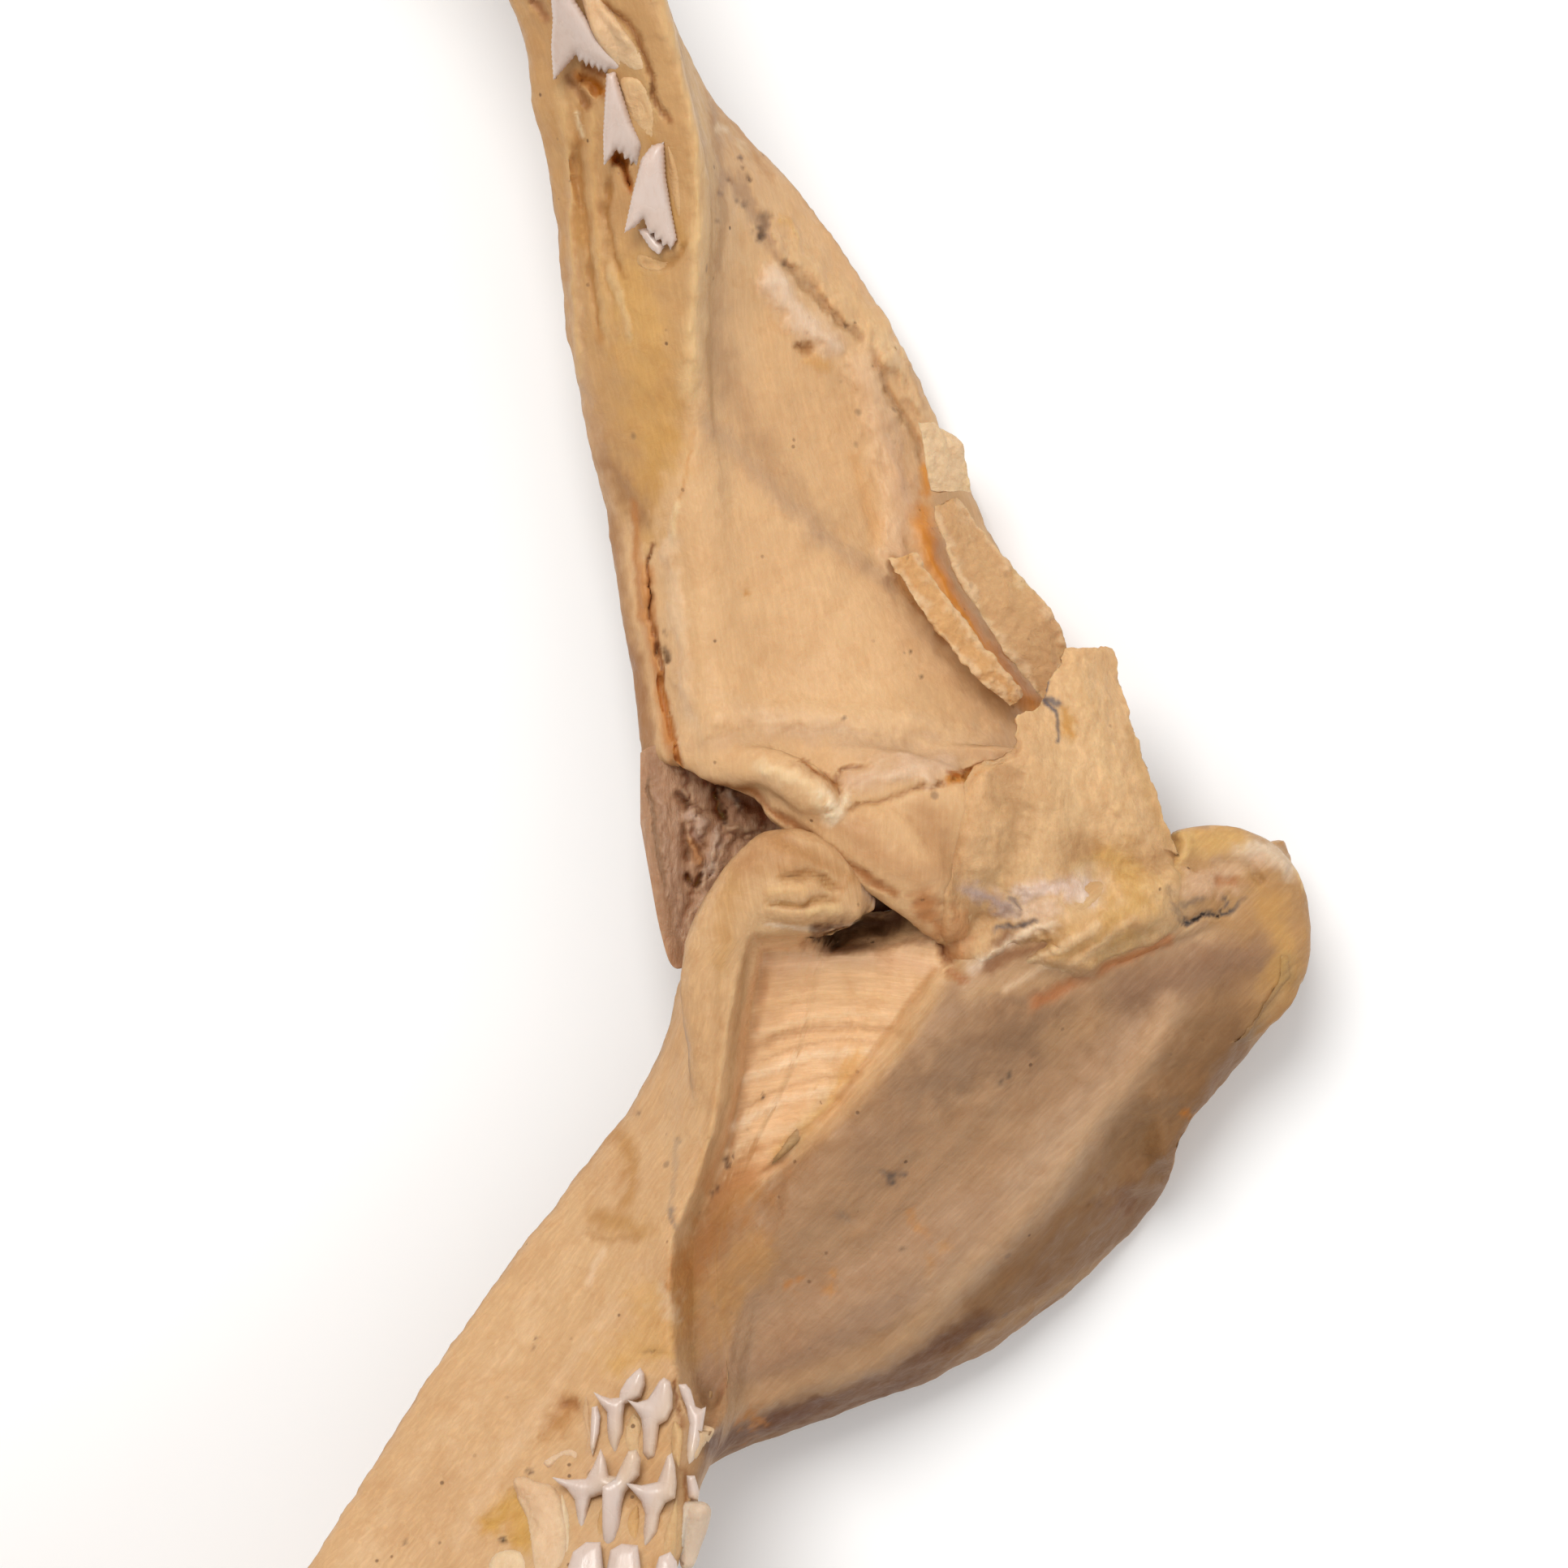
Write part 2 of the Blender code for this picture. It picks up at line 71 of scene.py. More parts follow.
# The drawing sheet lies under the camera: its unit is 0.083 mm, a runs right and b runs down.
UNIT = 0.083
SHEET_MID = 966.0
EYE_X = 92.6
EYE_Z = 719.5
EYE_DROP = 700.0
SENSOR_WIDTH = 36
FRAME_WIDTH = 160.36


# ---- small sums ----


def falloff(x):
    """1 at nought, easing to 0 at one."""
    x = np.clip(x, 0, 1)
    return 1 - x * x * (3 - 2 * x)


def climb(x, start, width):
    """0 up to the start, climbing evenly to 1 over the width."""
    return np.clip((x - start) / width, 0, 1)


def mixed(base, other, share):
    """The base with a share of the other in it."""
    return base * (1 - share) + other * share


def unit(v, tiny=0.0):
    """Vectors of length one along the last axis."""
    return v / (np.linalg.norm(v, axis=-1, keepdims=True) + tiny)


def walked(points):
    """How far along its path each point lies."""
    return np.concatenate(([0], np.cumsum(np.linalg.norm(np.diff(points, axis=0), axis=1))))


def turns(count):
    """Angles at even steps round a circle."""
    return np.linspace(0, 2 * math.pi, count, endpoint=False)[:, None]


def read(items, key, width):
    """A value of each vertex or attribute item, as rows of the given width."""
    values = np.empty(len(items) * width, np.float32)
    items.foreach_get(key, values)
    return values.reshape(-1, width).astype(float)


# ---- settings ----


def length(name, description, default):
    return FloatProperty(
        name=name, description=description, default=default * MM, min=0.1 * MM, subtype="DISTANCE", unit="LENGTH"
    )


def paint(name, description, default):
    return FloatVectorProperty(name=name, description=description, default=default, size=3, subtype="COLOR")


def power(name, description, default):
    return FloatProperty(name=name, description=description, default=default, subtype="POWER")


def number(name, description, default):
    return IntProperty(name=name, description=description, default=default, min=6)


class JawSettings(bpy.types.PropertyGroup):
    voxel: length("Surface step", "Size of the steps from which the cartilage surface is made", 0.84)
    unevenness: length("Unevenness", "How far the dried surface swells and sinks", 0.22)
    cartilage: paint("Cartilage", "Main colour of the dried cartilage", (0.731, 0.456, 0.231))


class ToothSettings(bpy.types.PropertyGroup):
    upper_width: length("Upper width", "Width of an upper tooth at its base", 9.4)
    upper_height: length("Upper height", "Height of an upper tooth from its base to its tip", 9.6)
    lower_width: length("Lower width", "Width of a lower tooth across its two-lobed root", 9.4)
    lower_height: length("Lower height", "Height of a lower tooth from its root to its tip", 6.6)
    upper_files: number("Upper files", "Number of files of teeth in each half of the upper jaw", 13)
    lower_files: number("Lower files", "Number of files of teeth in each half of the lower jaw", 12)
    enamel: paint("Enamel", "Colour of the tooth enamel", (0.62, 0.50, 0.43))


class StageSettings(bpy.types.PropertyGroup):
    floor: paint("Floor", "Colour of the plain floor", (0.93, 0.93, 0.93))
    key_power: power("Key light", "Power of the large soft light above", 8.4)
    fill_power: power("Fill light", "Power of the weaker light from the far side", 2.2)


# ---- the arms of the jaws, as in the solids ----

FIELDS = (
    "x y heading strip inner ridge trough_u trough_d lip_u lip_d fold_u fold_d rim_u rim_d bar blade"
).split()


def on_arch(arch, degrees):
    """The place on a front arch at an angle from its outermost point."""
    angle = math.radians(degrees)
    return arch[0] * math.cos(angle), arch[1] + arch[0] * math.sin(angle)


def upper_rows():
    arch = [(SYMPHYSIS_HALF + SEAM, UPPER_ARCH[1] + UPPER_ARCH[0])]
    arch += [on_arch(UPPER_ARCH, a) for a in (65, 40, 17)]
    return np.array(
        [
            arch[0] + (90, 13, 40, 54, 2, 8, 2, 14, 1, 18, -1, 21, 9, 5),
            arch[1] + (66, 14, 38, 52, 2, 8, 2, 14, 1, 19, -1, 22, 9, 5),
            arch[2] + (42, 15, 33, 47, 2, 8, 2.5, 15, 2.5, 21, 2, 26, 9, 4.5),
            arch[3] + (18, 14, 27, 40, 1, 8, 1, 14, 0.8, 20, 0.5, 26, 8.5, 4),
            (67.5, 87, 8, 15, 24, 36, 0.8, 7, 1, 13, 2.2, 19, 3.4, 26, 8, 3.5),
            (68.8, 79.5, 2, 15, 22, 34, 1.5, 7, 3, 13, 6.5, 18, 11, 25, 8, 3.2),
            (70.3, 66.4, -3, 13, 20, 31, 2, 6, 6, 11, 14, 17, 22, 24, 7.5, 3),
            (72.4, 55.6, -4, 11, 18.5, 28, 3, 4, 10, 8, 19, 15, 27.5, 25.5, 7, 3),
            (75, 43, -5, 9, 17, 26, 4, 1.5, 12, 3.5, 22, 11, 34, 24.8, 6.5, 3),
            (77, 30, -3, 8, 17, 26, 5, 1, 15, 2, 28, 9, 40, 23.5, 6.5, 3),
            (78, 21.5, -1, 8, 17, 27.5, 6, 0.5, 15, 1, 27, 6, 37, 17, 6.5, 3.4),
        ]
    )


def lower_rows():
    arch = [(SYMPHYSIS_HALF + SEAM, LOWER_ARCH[1] - LOWER_ARCH[0])]
    arch += [on_arch(LOWER_ARCH, a) for a in (-70, -50, -31)]
    return np.array(
        [
            arch[0] + (-90, 36, 44, 60, 2, 9, 1, 15, -2, 18, -6, 20, 12, 5),
            arch[1] + (-72, 36, 42, 59, 2, 9, 1, 15, -2, 18, -6, 20, 12, 5),
            arch[2] + (-54, 36, 37, 55, 2, 9, 1, 15, -1, 19, -4, 22, 12, 5),
            arch[3] + (-42, 34, 31, 48, 1, 9, 0.5, 16, 0, 20, -2, 25, 11, 4.5),
            (55.6, -41.9, -34, 30.5, 24, 40, 0.6, 10, 0.4, 17, 0, 23, -1, 29, 10, 4),
            (59.8, -36.4, -31, 27.5, 22.5, 37, 1, 11, 1, 16, 1.5, 22, 1.5, 30, 9.5, 3.6),
            (63.5, -31.1, -28, 24.5, 21, 35, 2.5, 12, 3.5, 16, 7.5, 20, 10.5, 30, 9, 3.4),
            (69.7, -22.8, -20, 15, 19, 32, 2.5, 11, 5, 9.5, 27, 17, 33, 28, 8.5, 3),
            (75.5, -15.5, -10, 11, 17, 31, 4, 16, 9, 7, 36, 15, 45.5, 30.2, 8, 3),
            (77.9, -11.7, -5, 9.8, 17, 31, 5.4, 17, 12, 6.4, 38, 14.5, 46.3, 30.2, 7.8, 3),
            (80, -8, 0, 9, 17, 31, 6.5, 17, 14.5, 6, 42, 14, 52.2, 30.2, 7.5, 3),
            (81.2, -4, 4, 8.7, 17, 31, 7.2, 16.5, 17, 6.2, 46, 14, 57.2, 28.6, 7.2, 3.1),
            (82, 0, 8, 8.5, 17, 30.5, 8, 15, 18.5, 6.5, 47, 14, 56.5, 26, 7, 3.2),
            (84.3, 3.2, 10, 7.5, 18, 29, 8, 9, 21, 7, 43, 11, 54, 20, 7, 3.6),
        ]
    )


def smooth(rows, t):
    """Stations at the values t, by a smooth curve through the rows; one row of fields for each."""
    t = np.atleast_1d(np.asarray(t, float))
    last = len(rows) - 1
    i = np.clip(t.astype(int), 0, last - 1)
    f = (t - i)[:, None]
    before, a, b, after = (rows[np.clip(i + k, 0, last)] for k in (-1, 0, 1, 2))
    m0 = (b - before) / 2
    m1 = (after - a) / 2
    return (
        (2 * f**3 - 3 * f**2 + 1) * a
        + (f**3 - 2 * f**2 + f) * m0
        + (3 * f**2 - 2 * f**3) * b
        + (f**3 - f**2) * m1
    )


def sections(stations):
    """Closed outlines of the arm, one for each station: 15 points of (outward, height)."""
    s = dict(zip(FIELDS, stations.T))
    w, ridge, inner = s["strip"], s["ridge"], s["inner"]
    rise = ridge - inner
    front = [
        (0 * w, inner),
        (0.35 * w, inner + 0.45 * rise),
        (0.75 * w, inner + 0.86 * rise),
        (w, ridge),
        (w + 0.55 * s["trough_u"] + 0.5, ridge - 0.45 * s["trough_d"]),
    ]
    front += [(w + s[k + "_u"], ridge - s[k + "_d"]) for k in ("trough", "lip", "fold", "rim")]
    front = [np.stack(p, 1) for p in front]
    back = []
    for i in (8, 7, 6, 5):
        along = unit(front[min(i + 1, 8)] - front[i - 1])
        into = np.stack((along[:, 1], -along[:, 0]), 1)
        depth = (s["blade"] * (0.6 if i == 8 else 1.0))[:, None]
        back.append(front[i] + into * depth)
    back.append(np.stack((0.6 * w, inner + 0.55 * rise - s["bar"]), 1))
    back.append(np.stack((0.12 * w, inner - 0.5 * s["bar"]), 1))
    return np.stack(front + back, 1)


def closed_curves(points, counts):
    """Smooth closed curves through the points of each outline."""
    n = points.shape[1]
    gap = np.linalg.norm(np.roll(points, -1, 1) - points, axis=2) ** 0.5 + 1e-6
    found = []
    for i in range(n):
        p0, p1, p2, p3 = (points[:, (i + k) % n] for k in (-1, 0, 1, 2))
        d0, d1, d2 = (gap[:, (i + k) % n][:, None] for k in (-1, 0, 1))
        m1 = ((p1 - p0) / d0 - (p2 - p0) / (d0 + d1) + (p2 - p1) / d1) * d1
        m2 = ((p2 - p1) / d1 - (p3 - p1) / (d1 + d2) + (p3 - p2) / d2) * d1
        for k in range(counts[i]):
            f = k / counts[i]
            turn = (3 - 2 * f) * f * f
            found.append((1 - turn) * p1 + turn * p2 + f * (1 - f) * ((1 - f) * m1 - f * m2))
    return np.stack(found, 1)


def in_space(stations, outlines):
    """Section points in millimetres, in the part's frame, left side."""
    x, y = (
        stations[:, k, None] + way[:, None] * outlines[..., 0] for k, way in enumerate(out_ways(stations).T)
    )
    return np.stack((x, y - CENTRE_Y, outlines[..., 1] - SINK), 2)


# Steps of a section's curve after each of its points.
SEGMENTS = (7, 8, 6, 4, 7, 9, 20, 10, 4, 12, 8, 6, 7, 7, 5)


def out_ways(stations):
    """The way outward at each station, as seen from above."""
    heading = np.radians(stations[:, 2])
    return np.stack((np.cos(heading), np.sin(heading)), 1)


def strip_marks(stations):
    """How far along the middle of the tooth-bearing face each station lies."""
    return walked(stations[:, :2] + out_ways(stations) * (0.7 * stations[:, 3])[:, None])


def arm_shell(rows):
    """The closed surface of an arm, as points and faces."""
    stations = smooth(rows, np.linspace(0, len(rows) - 1, ARM_RINGS))
    return tube_faces(in_space(stations, closed_curves(sections(stations), SEGMENTS)))


def quads(rows, columns, closed=False, base=0):
    """The faces of a grid of points, or of a ring of them on each row."""
    found = []
    for k in range(rows - 1):
        low, high = base + k * columns, base + (k + 1) * columns
        for i in range(columns if closed else columns - 1):
            j = (i + 1) % columns
            found.append((low + i, low + j, high + j, high + i))
    return found


def tube_faces(rings):
    """Points and faces of a tube through rings of points, closed at both ends."""
    count, n = rings.shape[:2]
    ends = [tuple(reversed(range(n))), tuple(range((count - 1) * n, count * n))]
    return rings.reshape(-1, 3), quads(count, n, True) + ends


# ---- the drawing sheet ----


def from_sheet(a, b, z):
    """The point at height z, in millimetres, that lies over (a, b) of the sheet."""
    near = EYE_DROP / (EYE_Z - z)
    return np.array((EYE_X + (a - SHEET_MID) * UNIT / near, -(b - SHEET_MID) * UNIT / near, z))


def in_a_row(flat):
    """Places in space of sheet points that are given in a row as a, b and height."""
    return np.array([from_sheet(*p) for p in np.reshape(flat, (-1, 3))])


def to_sheet(points):
    """The places of the sheet that points lie over."""
    near = EYE_DROP / (EYE_Z - points[:, 2])
    a = SHEET_MID + (points[:, 0] - EYE_X) * near / UNIT
    b = SHEET_MID - points[:, 1] * near / UNIT
    return np.stack((a, b), 1)


def curve_through(path, count):
    """count points at even steps of a smooth open curve through the path."""
    path = np.asarray(path, float)
    if len(path) == 2:
        f = np.linspace(0, 1, count)[:, None]
        return path[0] * (1 - f) + path[1] * f
    last = len(path) - 1
    f = np.linspace(0, 1, 16, endpoint=False)[:, None]
    dense = []
    for i in range(last):
        p0, p1, p2, p3 = (path[max(0, min(last, i + k))] for k in (-1, 0, 1, 2))
        bends = 2 * p0 - 5 * p1 + 4 * p2 - p3 + f * (3 * p1 - p0 - 3 * p2 + p3)
        dense.append(p1 + 0.5 * f * (p2 - p0 + f * bends))
    dense = np.concatenate((*dense, path[-1:]))
    mark = walked(dense)
    want = np.linspace(0, mark[-1], count)
    return np.stack([np.interp(want, mark, dense[:, k]) for k in range(path.shape[1])], 1)


def to_legs(ab, path):
    """For each leg of a path, how far each sheet point is from it and its share along the leg."""
    for p, q in zip(path, path[1:]):
        d = q - p
        share = np.clip(((ab - p) @ d) / (d @ d + TINY), 0, 1)
        yield np.linalg.norm(ab - (p + share[:, None] * d), axis=1), share


def near_path(ab, path):
    """Distance of each sheet point from the path, and the share along it."""
    path = np.asarray(path, float)
    if len(path) > 2:
        path = curve_through(path, 6 * len(path))
    best = np.full(len(ab), FAR)
    share = np.zeros(len(ab))
    mark = walked(path)
    for k, (far, along) in enumerate(to_legs(ab, path)):
        here = (mark[k] + along * (mark[k + 1] - mark[k])) / mark[-1]
        share = np.where(far < best, here, share)
        best = np.minimum(best, far)
    return best, share


def inside(ab, outline, soft):
    """How far each sheet point is inside the outline: 1 well inside, 0 outside."""
    ring = np.reshape(outline, (-1, 2)).astype(float)
    ring = np.concatenate((ring, ring[:1]))
    a, b = ab[:, 0], ab[:, 1]
    hit = np.zeros(len(ab), bool)
    best = np.full(len(ab), FAR)
    for p, q, (far, _) in zip(ring, ring[1:], to_legs(ab, ring)):
        crosses = (p[1] > b) != (q[1] > b)
        at = (q[0] - p[0]) * (b - p[1]) / (q[1] - p[1] + 1e-12) + p[0]
        hit ^= crosses & (a < at)
        best = np.minimum(best, far)
    border = 0.5 * falloff(best / soft)
    return np.where(hit, 1 - border, border)


def srgb(colour):
    """Linear red, green and blue of a colour given as 0xRRGGBB."""
    c = np.array((colour >> 16, colour >> 8 & 255, colour & 255)) / 255
    return np.where(c <= 0.04045, c / 12.92, ((c + 0.055) / 1.055) ** 2.4)


# ---- surfaces that are pressed, raised and tinted ----

# Share of a drawn colour that is stored, since the lit surface comes out brighter than the colour.
PIGMENT = 0.86
# Within this many sheet units of a given height, a levelled surface keeps close to it.
LEVEL_REACH = 30
# Strokes that press or raise the surface fade over this share of their ends, unless they are wide.
FADED_END = 0.08
WIDE_STROKE = 30
# From this raggedness up, a stroke also crumbles in its depth.
CRUMBLY = 0.45
# A stroke with a lowest height fades in over this height above it.
FADE_HEIGHT = 1.5
# The grain is measured from this many stations. How fast it runs along the fibres and across them,
# and how far behind a station a point may lie.
GRAIN_STATIONS = 160
ALONG_FIBRES = 0.11
ACROSS_FIBRES = 0.9
BEHIND = -12


def grain_noise(points, size, octaves=3, seed=0.0):
    """Soft noise between about -1 and 1, with features of the given size."""
    shift = Vector((seed, seed * 1.7, -seed))
    return np.array([noise.fractal(Vector(p) / size + shift, 1.0, 2.0, octaves) for p in points.tolist()])


class Surface:
    """Points of a mesh in millimetres, with their normals and tints."""

    def __init__(self, mesh):
        self.mesh = mesh
        self.points = read(mesh.vertices, "co", 3) / MM
        self.read_normals()
        self.tint = np.ones_like(self.points)
        self.torn = None

    def read_normals(self):
        self.normals = read(self.mesh.vertices, "normal", 3)
        self.sheet = to_sheet(self.points)

    def write(self):
        self.points[:, 2] = np.maximum(self.points[:, 2], 0)
        self.mesh.vertices.foreach_set("co", (self.points * MM).astype(np.float32).ravel())
        self.mesh.update()
        self.read_normals()

    def up_mask(self, low=-0.05, high=0.25):
        """1 where the surface faces up more than high, falling to 0 where it does less than low."""
        return 1 - falloff((self.normals[:, 2] - low) / (high - low))

    def tear(self):
        """Noise by which the places of ragged strokes are shifted."""
        if self.torn is None:
            broad = [grain_noise(self.points, 2.6, 2, seed) for seed in (51.0, 57.0)]
            fine = [grain_noise(self.points, 0.9, 3, seed) for seed in (61.0, 67.0)]
            self.torn = np.stack([a + 0.6 * b for a, b in zip(broad, fine)], 1)
        return self.torn

    def near(self, path, width, ragged):
        """The points within a stroke, and how far across it and along it each one is."""
        path = np.asarray(path, float).reshape(-1, 2)
        if len(path) == 1:
            path = np.concatenate((path, path + 0.5))
        room = width * (1 + ragged)
        low, high = path.min(0) - room, path.max(0) + room
        s = self.sheet
        pick = np.where(((s > low) & (s < high)).all(1))[0]
        if not len(pick):
            return pick, pick, pick
        at = s[pick]
        if ragged:
            at = at + self.tear()[pick] * ragged * width
        far, share = near_path(at, path)
        return pick, far / width, share

    def draw(self, strokes, up_only=True):
        """Strokes of path, half width, lift and colour, then strength, raggedness and lowest height."""
        up = self.up_mask()
        for path, width, lift, colour, *rest in strokes:
            strength, ragged, floor = (*rest, *(0.7, 0.4, None)[len(rest):])
            pick, far, share = self.near(path, width, ragged)
            if not len(pick):
                continue
            weight = falloff(far)
            if up_only:
                weight = weight * up[pick]
            if floor:
                weight = weight * climb(self.points[pick, 2], floor, FADE_HEIGHT)
            if lift:
                narrow = len(path) > 4 and width < WIDE_STROKE
                ends = climb(np.minimum(share, 1 - share), 0, FADED_END) if narrow else 1
                crumbs = 1 + 0.8 * ragged * self.tear()[pick, 0] if ragged > CRUMBLY else 1
                self.points[pick, 2] += lift * weight * ends * crumbs
            if colour is not None:
                weight = (weight * strength)[:, None]
                self.tint[pick] = mixed(self.tint[pick], srgb(colour), weight)

    def level(self, outline, soft, heights, steep=-0.6):
        """Brings what lies inside an outline to a smooth surface through (a, b, height) points."""
        weight = inside(self.sheet, outline, soft) * self.up_mask(steep, steep + 0.3)
        pick = np.where(weight > 0)[0]
        spots = np.reshape(heights, (-1, 3)).astype(float)
        gap = ((self.sheet[pick, None] - spots[None, :, :2]) ** 2).sum(2)
        share = 1 / (gap + LEVEL_REACH**2) ** 2
        short = share @ spots[:, 2] / share.sum(1) - self.points[pick, 2]
        self.points[pick, 2] += short * weight[pick]

    def zone(self, outline, soft, colour, strength=1.0, ragged=0.0):
        """Tints what lies inside an outline and faces up."""
        at = self.sheet + self.tear() * ragged if ragged else self.sheet
        weight = inside(at, outline, soft) * strength * self.up_mask()
        self.tint = mixed(self.tint, srgb(colour), weight[:, None])

    def roughen(self, size, amount, octaves, seed, weight=1.0):
        lift = grain_noise(self.points, size, octaves, seed) * amount * weight
        self.points += self.normals * lift[:, None]

    def store(self, grain=None):
        """Writes the tint and the grain, which runs along the fibres, as attributes of the mesh."""
        tint = self.mesh.attributes.new("tint", "FLOAT_COLOR", "POINT")
        full = np.ones((len(self.points), 4), np.float32)
        full[:, :3] = np.clip(self.tint * PIGMENT, 0.0, 1.0)
        tint.data.foreach_set("color", full.ravel())
        if grain is None:
            grain = self.points * np.array((0.9, 0.14, 0.9))
        attribute = self.mesh.attributes.new("grain", "FLOAT_VECTOR", "POINT")
        attribute.data.foreach_set("vector", np.ascontiguousarray(grain, np.float32).ravel())

    def grain_along(self, rows):
        """Coordinates that run slowly along the arm and fast across it."""
        stations = smooth(rows, np.linspace(0, len(rows) - 1, GRAIN_STATIONS))
        start = stations[:, :2] - np.array((0, CENTRE_Y))
        out = out_ways(stations)
        across = np.stack((-out[:, 1], out[:, 0]), 1)
        best = np.full(len(self.points), FAR)
        which = np.zeros(len(self.points), int)
        for k in range(len(stations)):
            rel = self.points[:, :2] - start[k]
            off = np.abs(rel @ across[k]) + 1e3 * (rel @ out[k] < BEHIND)
            which = np.where(off < best, k, which)
            best = np.minimum(best, off)
        u = np.einsum("ij,ij->i", self.points[:, :2] - start[which], out[which])
        along = strip_marks(stations)[which] * ALONG_FIBRES
        return np.stack((along, u * ACROSS_FIBRES, self.points[:, 2] * ACROSS_FIBRES), 1)


# ---- making meshes ----


def rod_shell(path, radii, flat=1.0):
    """A closed rounded rod through sheet points (a, b, height), as points and faces."""
    run = curve_through(np.column_stack((in_a_row(path), radii)), 8 * len(radii))
    ways = unit(np.gradient(run[:, :3], axis=0), TINY)
    turn = turns(ROD_AROUND)

    def ring(k, lean):
        side = unit(np.cross(ways[k], (0, 0, 1.0)), TINY)
        over = np.cross(side, ways[k])
        radius = run[k, 3]
        middle = run[k, :3] + ways[k] * radius * math.sin(lean)
        return middle + radius * math.cos(lean) * (np.cos(turn) * side + flat * np.sin(turn) * over)

    cap = [math.pi / 2 * k / (ROD_CAP + 0.4) for k in range(1, ROD_CAP + 1)]
    rings = [ring(0, -lean) for lean in reversed(cap)]
    rings += [ring(k, 0.0) for k in range(len(run))]
    rings += [ring(-1, lean) for lean in cap]
    return tube_faces(np.array(rings))


def plain_mesh(name, points, faces):
    """A mesh of points given in millimetres."""
    mesh = bpy.data.meshes.new(name)
    mesh.from_pydata((np.asarray(points) * MM).tolist(), [], faces)
    mesh.validate()
    return mesh


def faced_out(mesh):
    """The mesh with all its faces turned outward."""
    bm = bmesh.new()
    bm.from_mesh(mesh)
    bmesh.ops.recalc_face_normals(bm, faces=bm.faces)
    if bm.calc_volume(signed=True) < 0:
        bmesh.ops.reverse_faces(bm, faces=bm.faces)
    bm.to_mesh(mesh)
    bm.free()
    return mesh


def shown(name, data):
    """A new object in the scene."""
    obj = bpy.data.objects.new(name, data)
    bpy.context.scene.collection.objects.link(obj)
    return obj


def gathered(meshes):
    """Points in millimetres and faces of several meshes."""
    points = []
    faces = []
    for mesh in meshes:
        base = len(points)
        points += [tuple(v.co / MM) for v in mesh.vertices]
        faces += [tuple(base + i for i in face.vertices) for face in mesh.polygons]
    return points, faces


def fused(name, shells, voxel, rounds=3):
    """One closed skin over overlapping closed shells."""
    parts = [faced_out(plain_mesh("shell", points, faces)) for points, faces in shells]
    obj = shown(name, plain_mesh(name, *gathered(parts)))
    for part in parts:
        bpy.data.meshes.remove(part)
    remesh = obj.modifiers.new("skin", "REMESH")
    remesh.mode = "VOXEL"
    remesh.voxel_size = voxel
    ease = obj.modifiers.new("ease", "SMOOTH")
    ease.factor = 0.5
    ease.iterations = rounds
    graph = bpy.context.evaluated_depsgraph_get()
    mesh = bpy.data.meshes.new_from_object(obj.evaluated_get(graph))
    bpy.data.objects.remove(obj)
    return mesh


# From this much of a face's normal up, the face can be seen from above.
FACES_UP = 0.12


def refined(mesh, low, high):
    """Splits the faces whose middle lies in the box and that can be seen from above."""
    bm = bmesh.new()
    bm.from_mesh(mesh)
    picked = set()
    for face in bm.faces:
        c = face.calc_center_median() / MM
        if all(low[k] < c[k] < high[k] for k in range(3)) and face.normal.z > FACES_UP:
            picked.update(face.edges)
    bmesh.ops.subdivide_edges(bm, edges=list(picked), cuts=1, use_grid_fill=True, smooth=0.6)
    bm.to_mesh(mesh)
    bm.free()
    return mesh


def mirrored(mesh, name):
    """A copy on the other side of the middle."""
    copy = mesh.copy()
    copy.name = name
    copy.transform(Matrix.Scale(-1, 4, (1, 0, 0)))
    copy.flip_normals()
    return copy


def placed(name, mesh, slot, finish, *nodes):
    """The finished piece: shaded smooth, riding on the jaw and standing for its nodes."""
    mesh.materials.clear()
    mesh.materials.append(finish)
    mesh.shade_smooth()
    obj = shown(name, mesh)
    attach(obj, "root")
    if nodes:
        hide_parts(*nodes)


def pair(name, mesh, slot, finish, node=None):
    """A piece of the left side, and its mirror image on the right."""
    other = mirrored(mesh, name + "_right")
    for side, one in (("_left", mesh), ("_right", other)):
        placed(name + side, one, slot, finish, *([node + side] if node else []))


def slab(name, top, thick):
    """A closed sheet under a grid of points."""
    along, across = top.shape[:2]
    under = top.copy()
    under[..., 2] -= thick
    n = along * across
    faces = []
    for q in quads(along, across):
        faces += [q, tuple(n + v for v in reversed(q))]
    border = [k * across for k in range(along)]
    border += [(along - 1) * across + i for i in range(1, across)]
    border += [k * across + across - 1 for k in range(along - 2, -1, -1)]
    border += list(range(across - 2, 0, -1))
    faces += [(p, q, n + q, n + p) for p, q in zip(border, border[1:] + border[:1])]
    return faced_out(plain_mesh(name, np.concatenate((top.reshape(-1, 3), under.reshape(-1, 3))), faces))


def between(left, right, along, across):
    """A grid of points from one curve to another."""
    near, far = (curve_through(in_a_row(edge), along)[:, None] for edge in (left, right))
    return mixed(near, far, np.linspace(0, 1, across)[None, :, None])


def frayed(flat, along, across, side, end, ragged, seed):
    """The points of a grid, shaken a little, and by the ragged amount at its borders."""
    share = np.linspace(0, 1, across)
    ends = np.linspace(0, 1, along)
    wide = falloff(np.minimum(share, 1 - share) / side)
    long = falloff(np.minimum(ends, 1 - ends) / end)
    rim = np.maximum(wide[None, :], long[:, None]).reshape(-1, 1)
    wobble = np.stack([grain_noise(flat, 1.3, 4, seed + k) for k in range(3)], 1)
    return flat + wobble * (ragged[0] * rim + ragged[1])


